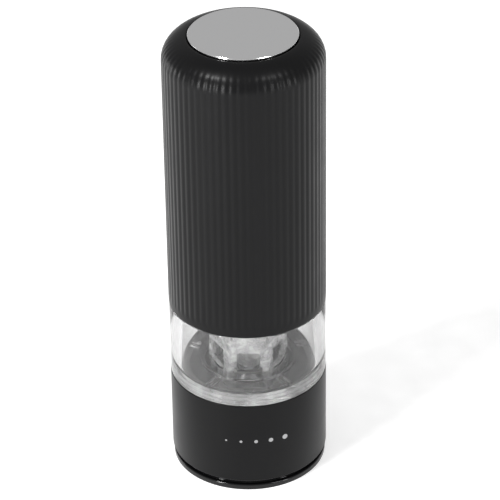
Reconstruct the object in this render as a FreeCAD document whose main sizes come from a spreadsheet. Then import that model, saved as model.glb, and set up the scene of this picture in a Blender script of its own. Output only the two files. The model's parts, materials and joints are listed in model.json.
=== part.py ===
"""Battery pepper mill: fluted power handle, push button, clear pepper jar and burr base.

Millimetres. The origin is the centre of the underside, +Z is up, -Y is the front.
Every driving size is a cell of the sheet; each piece is bound to those cells, so a
piece that fits in or on another one follows the same values and a named clearance.
"""
import FreeCAD, Part

import math
import os
import re

import Sketcher

Vector = FreeCAD.Vector
doc = FreeCAD.newDocument("PepperMill")

# --------------------------------------------------------------------------- sizes
SIZES = {
    # whole mill
    "body_radius": 27.0,
    "overall_height": 164.1,
    # clearances
    "fit_gap": 0.1,
    "slip_gap": 0.15,
    "run_gap": 0.06,
    "seat_gap": 0.1,
    "tip_gap": 0.5,
    "output_gap": 0.6,
    "plate_bore_gap": 2.0,
    # how far a cutter runs past, and how far joined bars run in
    "cut_over": 1.0,
    "weld": 0.5,
    # dust cap the mill stands on
    "cap_inset": 0.7,
    "cap_floor": 2.0,
    "cap_groove": 1.9,
    "cap_wall": 1.8,
    "cap_engagement": 5.1,
    # base shell
    "shell_height": 31.3,
    "shell_wall": 1.65,
    "ledge_width": 2.4,
    "ledge_thick": 2.0,
    # clear jar
    "jar_wall": 3.7,
    "jar_window": 27.8,
    "jar_floor_rise": 3.5,
    "jar_floor_thick": 1.8,
    "jar_hole_gap": 1.2,
    "jar_spigot": 6.2,
    "neck_height": 8.0,
    "neck_gap": 0.3,
    "seal_wire": 0.5,
    "notch_width": 3.0,
    # clear hexagonal guard round the shaft
    "guard_corner": 14.0,
    "guard_wall": 1.3,
    "guard_drop": 6.2,
    "guard_flange_width": 1.6,
    "guard_flange_thick": 1.3,
    "guard_window_width": 8.0,
    "guard_window_height": 7.0,
    "guard_top_gap": 3.5,
    "guard_top_thick": 2.0,
    # shaft tube, bushes and drive shaft
    "tube_wall": 1.65,
    "tube_flange_gap": 1.3,
    "tube_flange_thick": 1.6,
    "tube_foot_gap": 1.3,
    "bead_height": 0.8,
    "bead_proud": 0.35,
    "bush_wall": 1.21,
    "bush_length": 4.0,
    "shaft_corner": 2.88,
    "shaft_over_plate": 1.0,
    "clip_thick": 0.8,
    "clip_width": 1.6,
    "clip_groove_depth": 0.58,
    "clip_opening": 0.8,
    "spring_cup_wall": 0.5,
    "spring_cup_skirt": 1.2,
    "spring_cup_thick": 1.8,
    "rotor_spring_height": 7.0,
    "rotor_spring_wire": 0.45,
    # burrs
    "throat_lip": 2.6,
    "stator_ledge": 0.9,
    "housing_wall": 4.5,
    "stator_wall": 2.5,
    "stator_height": 12.4,
    "rotor_radius": 10.8,
    "rotor_taper": 1.4,
    "rotor_top": 6.0,
    "rotor_height": 13.4,
    "rotor_edge": 0.8,
    "stator_lip": 1.0,
    "fine_zone": 4.0,
    "burr_gap": 0.3,
    "burr_slot": 1.2,
    "burr_slot_depth": 1.3,
    # adjusting knob, thrust washer and outlet bridge
    "knob_clear": 1.2,
    "knob_height": 3.4,
    "knob_radius": 8.0,
    "knob_edge": 0.6,
    "coin_slot": 1.6,
    "coin_slot_depth": 1.0,
    "knob_grip": 1.1,
    "screw_radius": 3.0,
    "bridge_clear": 0.6,
    "bridge_thick": 2.2,
    "bridge_hub_wall": 2.2,
    "bridge_spoke": 2.6,
    "bridge_screw_length": 6.0,
    "bridge_lip_width": 1.7,
    "washer_over": 2.0,
    "washer_thick": 0.8,
    "adjust_travel": 0.8,
    # handle sleeve
    "sleeve_wall": 2.0,
    "shoulder_side_arc": 7.585,
    "shoulder_top_arc": 11.49,
    "shoulder_split": 50.0,
    "lip_thick": 2.4,
    "cavity_rise": 7.0,
    "flute_pitch": 2.5,
    "flute_width": 2.2,
    "flute_depth": 0.35,
    "flute_start": 4.0,
    "boss_radius": 2.4,
    "boss_inset": 0.3,
    "boss_height": 9.0,
    "boss_end": 1.0,
    "boss_angle": 110.0,
    # push button
    "button_radius": 18.2,
    "button_gap": 0.35,
    "button_proud": 0.6,
    "button_skin": 1.0,
    "button_edge": 0.6,
    "button_travel": 1.5,
    "flange_over": 0.75,
    "flange_side_gap": 0.6,
    "flange_thick": 1.2,
    "guide_thick": 1.5,
    "guide_pin": 1.5,
    "guide_pin_gap": 1.5,
    "pin_reach": 1.0,
    "button_spring_radius": 13.0,
    "button_spring_wire": 0.5,
    "button_spring_height": 7.5,
    "board_gap": 1.5,
    "board_thick": 1.2,
    "dome_radius": 4.0,
    "dome_rim": 0.8,
    # bottom plate of the handle
    "plate_gap": 0.5,
    "plate_thick": 2.0,
    "screw_shank": 1.2,
    "screw_head": 2.2,
    "screw_head_thick": 1.2,
    "lamp_radius": 1.5,
    "light_inset": 1.5,
    "lamp_height": 2.2,
    "light_board_radius": 3.2,
    # two-stage planetary gearbox
    "gear_module": 0.5,
    "sun_teeth": 12,
    "planet_teeth": 18,
    "ring_teeth": 48,
    "tooth_play": 0.08,
    "addendum": 0.85,
    "ring_addendum": 0.7,
    "dedendum": 1.25,
    "gear_width": 4.0,
    "gear_clear": 0.3,
    "case_wall": 2.375,
    "case_floor": 1.8,
    "ear_rim": 0.4,
    "ear_gap": 0.2,
    "ear_height": 4.0,
    "ear_screw_depth": 1.4,
    "ear_angle": 50.0,
    "pin_radius": 1.2,
    "carrier_rim": 1.7,
    "carrier_thick": 1.6,
    "socket_wall": 1.97,
    "motor_plate_thick": 2.4,
    # motor
    "motor_radius": 12.15,
    "motor_length": 26.0,
    "motor_shaft": 1.0,
    "bearing_depth": 3.0,
    "can_edge": 1.0,
    "tag_inner": 6.0,
    "tag_outer": 8.5,
    "tag_thick": 0.6,
    "tag_height": 3.0,
    "endcap_inset": 1.25,
    "endcap_height": 2.4,
    "motor_screw_ring": 8.0,
    "motor_screw_depth": 2.0,
    # battery holder and cells
    "holder_post": 1.7,
    "holder_floor": 2.0,
    "holder_tube_gap": 0.25,
    "holder_tube_wall": 0.55,
    "holder_web": 3.6,
    "web_reach": 4.0,
    "holder_cover_thick": 1.4,
    "leg_radius": 2.5,
    "leg_inset": 1.9,
    "leg_angle": 30.0,
    "post_step": 0.5,
    "cell_radius": 5.25,
    "cell_length": 43.5,
    "cell_nub": 1.0,
    "cell_nub_radius": 1.9,
    "cell_play": 0.15,
    "cell_spring_height": 2.0,
    "cell_spring_wire": 0.3,
    "strip_thick": 0.6,
    "strip_inset": 1.0,
    "strip_gap": 2.4,
}
CLIP_ANGLE = 20.0
CELL_COUNT = 6
PLANET_COUNT = 3
SCREW_COUNT = 3
ROTOR_SLOTS = 12
STATOR_SLOTS = 18
KNOB_GRIPS = 12
ROTOR_SPRING_TURNS = 4.5
BUTTON_SPRING_TURNS = 4
CELL_SPRING_TURNS = 2.5
PRESSURE_ANGLE = math.radians(20)

sheet = doc.addObject("Spreadsheet::Sheet", "Sizes")
for row, (alias, size) in enumerate(SIZES.items(), start=1):
    sheet.set(f"A{row}", alias.replace("_", " "))
    sheet.set(f"B{row}", str(size))
    sheet.setAlias(f"B{row}", alias)
doc.recompute()

# ------------------------------------------- levels and radii worked out from the sheet
WORKED_OUT = {
    # lower unit
    "cap_radius": "body_radius - cap_inset",
    "shell_low": "cap_floor + cap_groove",
    "shell_bore": "body_radius - shell_wall",
    "cap_spigot": "shell_bore - slip_gap",
    "cap_top": "shell_low + cap_engagement",
    "shell_top": "shell_low + shell_height",
    "jar_outer": "body_radius - fit_gap",
    "jar_bore": "jar_outer - jar_wall",
    "jar_floor": "shell_top + jar_floor_rise",
    "jar_under": "jar_floor - jar_floor_thick",
    "jar_floor_hole": "guard_corner + jar_hole_gap",
    "jar_seat": "shell_top + jar_window",
    "neck_top": "jar_seat + neck_height",
    "neck_outer": "sleeve_bore - neck_gap",
    "spigot_low": "shell_top - jar_spigot",
    "flange_top": "spigot_low",
    "flange_low": "spigot_low - ledge_thick",
    "ledge_low": "flange_low - ledge_thick",
    "housing_flange": "shell_bore - fit_gap",
    "housing_neck": "jar_bore - fit_gap",
    # burrs and adjuster, from the cap upwards
    "knob_low": "cap_floor + knob_clear",
    "knob_top": "knob_low + knob_height",
    "bridge_low": "knob_top + bridge_clear",
    "bridge_top": "bridge_low + bridge_thick",
    "bridge_hub": "screw_radius + bridge_hub_wall",
    "bridge_lip": "stator_radius - bridge_lip_width",
    "washer_low": "bridge_top + 2 * adjust_travel",
    "washer_radius": "screw_radius + washer_over",
    "rotor_low": "washer_low + washer_thick",
    "rotor_high": "rotor_low + rotor_height",
    "rotor_waist": "rotor_radius - rotor_taper",
    "stator_low": "rotor_low + seat_gap",
    "stator_high": "stator_low + stator_height",
    "stator_radius": "rotor_radius + burr_gap + burr_slot_depth + stator_wall",
    "housing_radius": "stator_radius + fit_gap + housing_wall",
    "throat_radius": "stator_radius - stator_ledge",
    "throat_top": "housing_neck - throat_lip",
    # guard, tube and drive shaft
    "guard_low": "jar_floor - guard_drop",
    "guard_high": "plate_low - guard_top_gap",
    "guard_ceiling": "guard_high - guard_top_thick",
    "guard_bore": "guard_corner - guard_wall / cos(30 * 1 deg)",
    "guard_sill": "jar_floor + guard_flange_thick",
    "guard_flange": "jar_floor_hole + guard_flange_width",
    "shaft_round": "shaft_corner + run_gap",
    "shaft_low": "rotor_low + 2 * seat_gap + adjust_travel",
    "shaft_high": "plate_low + shaft_over_plate",
    "tube_low": "jar_floor - tube_foot_gap",
    "tube_bore": "shaft_round + bush_wall + fit_gap / 2",
    "tube_radius": "tube_bore + tube_wall",
    "tube_flange": "guard_bore * cos(30 * 1 deg) - tube_flange_gap",
    "spring_top": "rotor_high + rotor_spring_height",
    "spring_ring": "shaft_round + rotor_spring_wire",
    "spring_cup_bore": "spring_ring + rotor_spring_wire + run_gap",
    "spring_cup_radius": "spring_cup_bore + spring_cup_wall",
    "clip_low": "spring_top + spring_cup_thick",
    "clip_high": "clip_low + clip_thick",
    "clip_groove": "shaft_corner - clip_groove_depth",
    "clip_radius": "clip_groove + clip_width",
    # handle casing
    "sleeve_low": "jar_seat + seat_gap",
    "sleeve_bore": "body_radius - sleeve_wall",
    "sleeve_top": "overall_height - button_proud",
    "boss_ring": "sleeve_bore - boss_radius - boss_inset",
    "plate_low": "neck_top + plate_gap",
    "plate_top": "plate_low + plate_thick",
    "plate_radius": "sleeve_bore - fit_gap",
    "light_low": "plate_low - board_thick",
    "light_ring": "jar_bore - light_board_radius - light_inset",
    # push button
    "button_hole": "button_radius + button_gap",
    "lip_under": "sleeve_top - lip_thick",
    "flange_high": "lip_under - seat_gap",
    "plunger_low": "flange_high - flange_thick",
    "dome_top": "plunger_low - button_travel",
    "guide_top": "plunger_low - button_spring_height",
    "guide_low": "guide_top - guide_thick",
    "guide_pin_ring": "button_spring_radius + button_spring_wire + guide_pin + guide_pin_gap",
    "board_radius": "button_spring_radius - button_spring_wire - board_gap",
    # gearbox and motor, from the bottom plate upwards
    "pitch": "gear_module * (sun_teeth + planet_teeth) / 2",
    "case_radius": "gear_module * (ring_teeth / 2 + dedendum) + case_wall",
    "case_inside": "plate_top + case_floor",
    "ear_radius": "screw_head + ear_rim",
    "ear_ring": "case_radius + screw_head + ear_gap",
    "carrier_radius": "pitch + pin_radius + carrier_rim",
    "carrier_b_low": "case_inside + gear_clear",
    "carrier_b_top": "carrier_b_low + carrier_thick",
    "planet_b_low": "carrier_b_top + gear_clear",
    "planet_b_top": "planet_b_low + gear_width",
    "carrier_a_low": "planet_b_top + gear_clear",
    "carrier_a_top": "carrier_a_low + carrier_thick",
    "planet_a_low": "carrier_a_top + gear_clear",
    "planet_a_top": "planet_a_low + gear_width",
    "motor_plate_low": "planet_a_top + 2 * gear_clear",
    "motor_low": "motor_plate_low + motor_plate_thick",
    "motor_high": "motor_low + motor_length",
    "output_radius": "shaft_corner + slip_gap + socket_wall",
    "output_low": "guard_ceiling + 2 * seat_gap",
    # battery holder, hung from the button guide downwards
    "holder_cover_top": "guide_low - holder_post",
    "holder_cover_low": "holder_cover_top - holder_cover_thick",
    "cells_span": "2 * strip_thick + cell_spring_height + cell_length + cell_nub",
    "holder_deck": "holder_cover_low - cells_span",
    "holder_low": "holder_deck - holder_floor",
    "holder_tube_bore": "motor_radius + holder_tube_gap",
    "holder_tube_outer": "holder_tube_bore + holder_tube_wall",
    "cell_ring": "holder_tube_outer + cell_play + cell_radius",
    "leg_ring": "plate_radius - leg_radius - leg_inset",
}

# --------------------------------------------------------------------------- helpers
MATHS = {"cos", "sin", "deg"}
nodes = {}


def swapped(text, change):
    """The text with every size name in it changed by a function."""
    return re.sub(r"(?<![\w.])[a-z][a-z_]+", lambda match: change(match.group(0)), text)


def expanded(text):
    """The same expression written with cells of the sheet only."""
    return swapped(text, lambda word: f"({expanded(WORKED_OUT[word])})" if word in WORKED_OUT else word)


def linked(text):
    """The same expression, with every size name pointing at its cell in the sheet."""
    return swapped(expanded(text), lambda word: word if word in MATHS else f"Sizes.{word}")


def value(text):
    """The number an expression gives with the present sizes."""
    return float(sheet.evalExpression(expanded(text)))


def bind(item, prop, text):
    item.setExpression(prop, linked(text))


def keep(name, item):
    """Enter a finished piece as a node of the mill."""
    item.Label = name
    nodes[name] = item
    return item


def place(item, low, ring=None, angle=None):
    """Bind an item's height and, on a ring, its place round the axis."""
    bind(item, "Placement.Base.z", low)
    if ring is not None:
        bind(item, "Placement.Base.x", f"({ring}) * cos(({angle}) * 1 deg)")
        bind(item, "Placement.Base.y", f"({ring}) * sin(({angle}) * 1 deg)")
    return item


def cylinder(name, radius, low, high, ring=None, angle=None):
    item = doc.addObject("Part::Cylinder", name)
    bind(item, "Radius", radius)
    bind(item, "Height", f"({high}) - ({low})")
    return place(item, low, ring, angle)


def prism(name, corner, low, high):
    """A hexagonal prism with a flat facing the front."""
    item = doc.addObject("Part::Prism", name)
    item.Polygon = 6
    bind(item, "Circumradius", corner)
    bind(item, "Height", f"({high}) - ({low})")
    return place(item, low)


def bar(name, start, end, width, low, high, angle=0.0):
    """A box lying along a radius, from one distance to another, turned by an angle."""
    item = doc.addObject("Part::Box", name)
    turn = math.radians(angle)
    bind(item, "Length", f"({end}) - ({start})")
    bind(item, "Width", width)
    bind(item, "Height", f"({high}) - ({low})")
    item.Placement = FreeCAD.Placement(Vector(), FreeCAD.Rotation(Vector(0, 0, 1), angle))
    bind(item, "Placement.Base.x", f"({start}) * {math.cos(turn)} + ({width}) / 2 * {math.sin(turn)}")
    bind(item, "Placement.Base.y", f"({start}) * {math.sin(turn)} - ({width}) / 2 * {math.cos(turn)}")
    bind(item, "Placement.Base.z", low)
    return item


def fuse(name, pieces):
    item = doc.addObject("Part::MultiFuse", name)
    item.Shapes = pieces
    item.Refine = True
    return item


def cut(name, base, tools):
    item = doc.addObject("Part::Cut", name)
    item.Base = base
    item.Tool = tools[0] if len(tools) == 1 else fuse(name + "_tools", tools)
    item.Refine = True
    return item


def group(name, pieces):
    item = doc.addObject("Part::Compound", name)
    item.Links = pieces
    return item


def around(count, start=0.0):
    """Angles of a number of places spread evenly round the axis."""
    return [start + 360.0 * step / count for step in range(count)]


def sketch_in(body, name, role):
    """A sketch on one of the body's own origin planes."""
    sketch = body.newObject("Sketcher::SketchObject", name)
    plane = next(item for item in body.Origin.OriginFeatures if item.Role == role)
    sketch.AttachmentSupport = [(plane, "")]
    sketch.MapMode = "FlatFace"
    return sketch


def outline(sketch, corners):
    """A closed outline of (radius, height) corners in the XZ plane, each bound to the sheet."""
    spots = [Vector(value(radius), value(height), 0) for radius, height in corners]
    count = len(spots)
    for index in range(count):
        sketch.addGeometry(Part.LineSegment(spots[index], spots[(index + 1) % count]), False)
    for index in range(count):
        sketch.addConstraint(Sketcher.Constraint("Coincident", index, 2, (index + 1) % count, 1))
    for index, (radius, height) in enumerate(corners):
        pin_point(sketch, index, 1, radius, height)


def pin_point(sketch, edge, end, radius=None, height=None):
    """Bind one point of a sketch edge to a radius and a height."""
    for kind, text, axis in (("DistanceX", radius, -2), ("DistanceY", height, -1)):
        if text is None:
            continue
        distance = value(text)
        if distance == 0:
            sketch.addConstraint(Sketcher.Constraint("PointOnObject", edge, end, axis))
            continue
        number = sketch.addConstraint(Sketcher.Constraint(kind, -1, 1, edge, end, distance))
        bind(sketch, f"Constraints[{number}]", text)


def revolve(body, sketch, kind="PartDesign::Revolution"):
    """Turn a sketch right round the Z axis, adding to the body or cutting it."""
    feature = body.newObject(kind, sketch.Name + "_turned")
    feature.Profile = sketch
    feature.ReferenceAxis = (sketch, ["V_Axis"])
    feature.Angle = 360
    return feature


def turned(name, corners):
    """A body turned round the Z axis from one outline."""
    body = doc.addObject("PartDesign::Body", name)
    sketch = sketch_in(body, name + "_outline", "XZ_Plane")
    outline(sketch, corners)
    revolve(body, sketch)
    return body


def tube(name, outer, inner, low, high):
    """A plain ring of square section."""
    return turned(name, [(inner, low), (outer, low), (outer, high), (inner, high)])


def pocket_ring(body, name, radius, ring, low, high, count):
    """Upright round pockets, evenly spread round the axis, between two heights."""
    sketch = sketch_in(body, name, "XY_Plane")
    sketch.addGeometry(Part.Circle(Vector(value(ring), 0, 0), Vector(0, 0, 1), value(radius)), False)
    sketch.addConstraint(Sketcher.Constraint("PointOnObject", 0, 3, -1))
    number = sketch.addConstraint(Sketcher.Constraint("DistanceX", -1, 1, 0, 3, value(ring)))
    bind(sketch, f"Constraints[{number}]", ring)
    number = sketch.addConstraint(Sketcher.Constraint("Radius", 0, value(radius)))
    bind(sketch, f"Constraints[{number}]", radius)
    bind(sketch, ".AttachmentOffset.Base.z", low)
    pocket = body.newObject("PartDesign::Pocket", name + "_pocket")
    pocket.Profile = sketch
    pocket.Reversed = True
    bind(pocket, "Length", f"({high}) - ({low})")
    doc.recompute()
    before = body.Shape.Volume
    pattern = body.newObject("PartDesign::PolarPattern", name + "_pattern")
    pattern.Originals = [pocket]
    pattern.Axis = (sketch, ["N_Axis"])
    pattern.Angle = 360
    pattern.Occurrences = count
    body.Tip = pattern
    doc.recompute()
    if not body.Shape.Volume < before:
        raise RuntimeError(f"{name} cuts nothing")


def coil(name, mean_radius, wire, low, height, turns):
    """A round-wire helical spring between low and low + height, swept along half-turn stretches."""
    radius, thick = value(mean_radius), value(wire)
    climb = value(height) - 2 * thick
    stretches = round(2 * turns)
    edges = []
    for index in range(stretches):
        arc = Part.makeHelix(climb / turns, climb / stretches, radius)
        half_turn = FreeCAD.Rotation(Vector(0, 0, 1), 180.0 * index)
        arc.Placement = FreeCAD.Placement(Vector(0, 0, climb * index / stretches), half_turn)
        edges += arc.Edges
    section = Part.Wire(Part.makeCircle(thick, Vector(radius, 0, 0), Vector(0, 1, 0)))
    item = doc.addObject("Part::Feature", name)
    item.Shape = Part.Wire(edges).makePipeShell([section], True, True)
    return place(item, f"({low}) + ({wire})")


def screw(name, shank_low, shank_high, head_low, head_high, ring, angle):
    """A pan-head screw standing upright; its head may be at either end."""
    parts = [
        cylinder(name + "_shank", "screw_shank", shank_low, shank_high, ring, angle),
        cylinder(name + "_head", "screw_head", head_low, head_high, ring, angle),
    ]
    return fuse(name, parts)


# --------------------------------------------------------------------------- gears
def involute(angle):
    return math.tan(angle) - angle


def tooth_half_angle(teeth, half_thickness, radius):
    """Half the angle that an involute tooth spans at a radius."""
    pitch_radius = value("gear_module") * teeth / 2
    base = pitch_radius * math.cos(PRESSURE_ANGLE)
    here = math.acos(min(1.0, base / radius))
    return half_thickness / pitch_radius + involute(PRESSURE_ANGLE) - involute(here)


def gear_wire(teeth, addendum, dedendum, play, first):
    """A closed outline of involute teeth; the first tooth is centred on an angle."""
    module = value("gear_module")
    pitch_radius = module * teeth / 2
    tip = pitch_radius + value(addendum) * module
    root = pitch_radius - value(dedendum) * module
    start = max(root, pitch_radius * math.cos(PRESSURE_ANGLE))
    half_thickness = module * math.pi / 4 - play / 2
    spread = {r: tooth_half_angle(teeth, half_thickness, r) for r in (start, (start + tip) / 2, tip)}
    step = 2 * math.pi / teeth

    def spot(radius, angle):
        return Vector(radius * math.cos(angle), radius * math.sin(angle), 0)

    edges = []
    for tooth in range(teeth):
        centre = first + tooth * step
        rising = [spot(r, centre - half) for r, half in spread.items()]
        falling = [spot(r, centre + half) for r, half in spread.items()]
        foot = spot(root, centre - spread[start])
        heel = spot(root, centre + spread[start])
        following = spot(root, centre + step - spread[start])
        if start > root:
            edges.append(Part.LineSegment(foot, rising[0]).toShape())
        edges.append(Part.Arc(*rising).toShape())
        edges.append(Part.Arc(rising[2], spot(tip, centre), falling[2]).toShape())
        edges.append(Part.Arc(*reversed(falling)).toShape())
        if start > root:
            edges.append(Part.LineSegment(falling[0], heel).toShape())
        edges.append(Part.Arc(heel, spot(root, centre + step / 2), following).toShape())
    return Part.Wire(edges)


def gear_blank(name, teeth, addendum, dedendum, play, first, low, high, bore=None):
    """A spur gear, or a gear-shaped cutter, between two heights."""
    face = Part.Face(gear_wire(teeth, addendum, dedendum, play, first))
    height = value(f"({high}) - ({low})")
    shape = face.extrude(Vector(0, 0, height))
    if bore is not None:
        shape = shape.cut(Part.makeCylinder(value(bore), height))
    item = doc.addObject("Part::Feature", name)
    item.Shape = shape
    return place(item, low)


# --------------------------------------------------------------------------- lower unit
def make_dust_cap():
    """The shallow cap under the grinder: a glossy foot ring and a push-fit spigot."""
    keep("dust_cap", turned("dust_cap", [
        ("0", "0"), ("cap_radius", "0"), ("cap_radius", "cap_floor"), ("cap_spigot", "cap_floor"),
        ("cap_spigot", "cap_top"), ("cap_spigot - cap_wall", "cap_top"),
        ("cap_spigot - cap_wall", "cap_floor"), ("0", "cap_floor"),
    ]))


def make_base_shell():
    """The black base, with an inner ledge that carries the grinder housing."""
    keep("base_shell", turned("base_shell", [
        ("shell_bore", "shell_low"), ("body_radius", "shell_low"), ("body_radius", "shell_top"),
        ("shell_bore", "shell_top"), ("shell_bore", "flange_low"),
        ("shell_bore - ledge_width", "flange_low"), ("shell_bore - ledge_width", "ledge_low"),
        ("shell_bore", "ledge_low"),
    ]))


def make_jar():
    """The clear jar: thick wall, floor with a throat, spigot into the base, neck into the handle."""
    seal_mid = "(jar_seat + neck_height / 2)"
    groove = "(neck_outer - 2 * seal_wire + neck_gap / 2)"
    spigot_outer = "(shell_bore - fit_gap)"
    jar = turned("jar", [
        ("jar_bore", "spigot_low"), (spigot_outer, "spigot_low"), (spigot_outer, "shell_top"),
        ("jar_outer", "shell_top"), ("jar_outer", "jar_seat"), ("neck_outer", "jar_seat"),
        ("neck_outer", f"{seal_mid} - seal_wire - fit_gap"), (groove, f"{seal_mid} - seal_wire - fit_gap"),
        (groove, f"{seal_mid} + seal_wire + fit_gap"), ("neck_outer", f"{seal_mid} + seal_wire + fit_gap"),
        ("neck_outer", "neck_top"), ("jar_bore", "neck_top"), ("jar_bore", "jar_floor"),
        ("jar_floor_hole", "jar_floor"), ("jar_floor_hole", "jar_under"), ("jar_bore", "jar_under"),
    ])
    notch = cylinder("jar_notch", "notch_width / 2", "jar_floor - jar_floor_thick / 2",
                     "jar_floor + cut_over", "jar_bore", "-90")
    keep("jar", cut("jar_notched", jar, [notch]))
    ring = doc.addObject("Part::Torus", "jar_seal")
    bind(ring, "Radius1", f"{groove} + seal_wire")
    bind(ring, "Radius2", "seal_wire")
    keep("jar_seal", place(ring, seal_mid))


def make_shaft_guard():
    """The clear hexagonal guard: shut above, with six windows at the floor and a round flange."""
    shell = cut("guard_shell", prism("guard_outer", "guard_corner", "guard_low", "guard_high"),
                [prism("guard_inner", "guard_bore", "guard_low", "guard_ceiling")])
    sill = tube("guard_sill", "guard_flange", "guard_corner - guard_wall", "jar_floor", "guard_sill")
    windows = [
        bar(f"guard_window_{number}", "-2 * guard_corner", "2 * guard_corner", "guard_window_width",
            "guard_sill", "guard_sill + guard_window_height", angle)
        for number, angle in enumerate((30.0, 90.0, 150.0), start=1)
    ]
    inside = prism("guard_clear", "guard_bore", "guard_low", "guard_ceiling")
    passage = cylinder("guard_passage", "output_radius + output_gap", "guard_ceiling", "guard_high")
    whole = fuse("guard_whole", [shell, sill])
    keep("shaft_guard", cut("shaft_guard", whole, windows + [inside, passage]))


def make_shaft_tube():
    """The clear tube that holds the two shaft bushes, with a top flange and two beads."""
    bead = "(tube_radius + bead_proud)"
    corners = [("tube_bore", "tube_low"), ("tube_radius", "tube_low")]
    for share in (0.1, 0.27):
        start = f"(tube_low + {share} * (guard_ceiling - tube_low))"
        corners += [("tube_radius", start), (bead, start)]
        corners += [(bead, f"{start} + bead_height"), ("tube_radius", f"{start} + bead_height")]
    flange = "(guard_ceiling - tube_flange_thick)"
    corners += [("tube_radius", flange), ("tube_flange", flange), ("tube_flange", "guard_ceiling"),
                ("tube_bore", "guard_ceiling")]
    keep("shaft_tube", turned("shaft_tube", corners))
    bush_outer = "(tube_bore - fit_gap / 2)"
    keep("lower_bush", tube("lower_bush", bush_outer, "shaft_round", "tube_low",
                            "tube_low + bush_length"))
    keep("upper_bush", tube("upper_bush", bush_outer, "shaft_round",
                            "guard_ceiling - bush_length", "guard_ceiling"))


def make_grinder_housing():
    """The funnel-shaped housing under the jar floor; its bore holds the fixed burr."""
    stator_bore = "(stator_radius + fit_gap)"
    keep("grinder_housing", turned("grinder_housing", [
        (stator_bore, "bridge_top"), ("housing_radius", "bridge_top"), ("housing_radius", "flange_low"),
        ("housing_flange", "flange_low"), ("housing_flange", "flange_top"), ("housing_neck", "flange_top"),
        ("housing_neck", "jar_under - fit_gap"), ("throat_top", "jar_under - fit_gap"),
        ("throat_radius", "stator_high + ledge_thick"), ("throat_radius", "stator_high"),
        (stator_bore, "stator_high"),
    ]))


def make_burrs():
    """Ceramic burrs: a fixed ring and a cone, with feed slots that thin out to a fine land."""
    slope = "((rotor_radius - rotor_waist) / fine_zone)"
    waist_level = "(rotor_low + fine_zone)"
    stator = turned("stator_ring", [
        (f"rotor_radius + burr_gap - {slope} * seat_gap", "stator_low"), ("stator_radius", "stator_low"),
        ("stator_radius", "stator_high"), ("throat_radius - stator_lip", "stator_high"),
        ("rotor_waist + burr_gap", waist_level),
    ])
    slots = [
        bar(f"stator_slot_{number}", "rotor_waist - cut_over", "rotor_radius + burr_gap + burr_slot_depth",
            "burr_slot", "stator_low", "stator_high", angle)
        for number, angle in enumerate(around(STATOR_SLOTS), start=1)
    ]
    keep("stator_burr", cut("stator_burr", stator, slots))
    rotor = turned("rotor_cone", [
        ("0", "rotor_low"), ("rotor_radius", "rotor_low"), ("rotor_waist", waist_level),
        ("rotor_top", "rotor_high - rotor_edge"), ("rotor_top - rotor_edge", "rotor_high"),
        ("0", "rotor_high"),
    ])
    cuts = [
        bar(f"rotor_slot_{number}", "rotor_waist - 2 * burr_slot_depth", "rotor_radius + cut_over",
            "burr_slot", waist_level, "rotor_high", angle)
        for number, angle in enumerate(around(ROTOR_SLOTS), start=1)
    ]
    cuts.append(prism("rotor_socket", "shaft_round", "rotor_low", "rotor_high"))
    keep("rotor_burr", cut("rotor_burr", rotor, cuts))


def make_outlet_bridge():
    """The three-armed bridge that closes the housing and carries the adjusting screw."""
    rim = turned("bridge_rim", [
        ("bridge_lip", "bridge_low"), ("housing_radius", "bridge_low"), ("housing_radius", "bridge_top"),
        ("stator_radius", "bridge_top"), ("stator_radius", "stator_low"), ("bridge_lip", "stator_low"),
    ])
    hub = cylinder("bridge_hub_blank", "bridge_hub", "bridge_low", "bridge_top")
    spokes = [
        bar(f"bridge_spoke_{number}", "bridge_hub - weld", "bridge_lip + weld", "bridge_spoke",
            "bridge_low", "bridge_top", angle)
        for number, angle in enumerate(around(3, 90.0), start=1)
    ]
    bore = cylinder("bridge_bore", "screw_radius + run_gap", "bridge_low", "bridge_top")
    ring = "((stator_radius + fit_gap + housing_radius) / 2)"
    holes, screws = [], []
    for number, angle in enumerate(around(SCREW_COUNT, 30.0), start=1):
        holes.append(cylinder(f"bridge_hole_{number}", "screw_shank + run_gap", "bridge_low", "bridge_top",
                              ring, f"{angle}"))
        screws.append(screw(f"bridge_screw_{number}", "bridge_low - weld",
                            "bridge_top + bridge_screw_length", "bridge_low - screw_head_thick",
                            "bridge_low", ring, f"{angle}"))
    whole = fuse("bridge_whole", [rim, hub] + spokes)
    keep("outlet_bridge", cut("outlet_bridge", whole, [bore] + holes))
    keep("bridge_screws", group("bridge_screws", screws))
    sockets = [
        cylinder(f"housing_hole_{number}", "screw_shank + run_gap", "bridge_top",
                 "bridge_top + bridge_screw_length + tip_gap", ring, f"{angle}")
        for number, angle in enumerate(around(SCREW_COUNT, 30.0), start=1)
    ]
    housing = nodes["grinder_housing"]
    housing.Label = "grinder_housing_blank"
    keep("grinder_housing", cut("grinder_housing_drilled", housing, sockets))


def make_adjuster():
    """The grind knob with its screw, and the washer between the screw and the rotor."""
    knob = turned("knob_blank", [
        ("0", "knob_low"), ("knob_radius - knob_edge", "knob_low"), ("knob_radius", "knob_low + knob_edge"),
        ("knob_radius", "knob_top"), ("screw_radius", "knob_top"), ("screw_radius", "washer_low"),
        ("0", "washer_low"),
    ])
    pocket_ring(knob, "knob_grips", "knob_grip", "knob_radius + knob_grip / 2", "knob_low", "knob_top",
                KNOB_GRIPS)
    slot = bar("knob_coin_slot", "-knob_radius * 0.6", "knob_radius * 0.6", "coin_slot", "knob_low",
               "knob_low + coin_slot_depth")
    keep("adjust_knob", cut("adjust_knob", knob, [slot]))
    keep("thrust_washer", cylinder("thrust_washer", "washer_radius", "washer_low", "rotor_low"))


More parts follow.
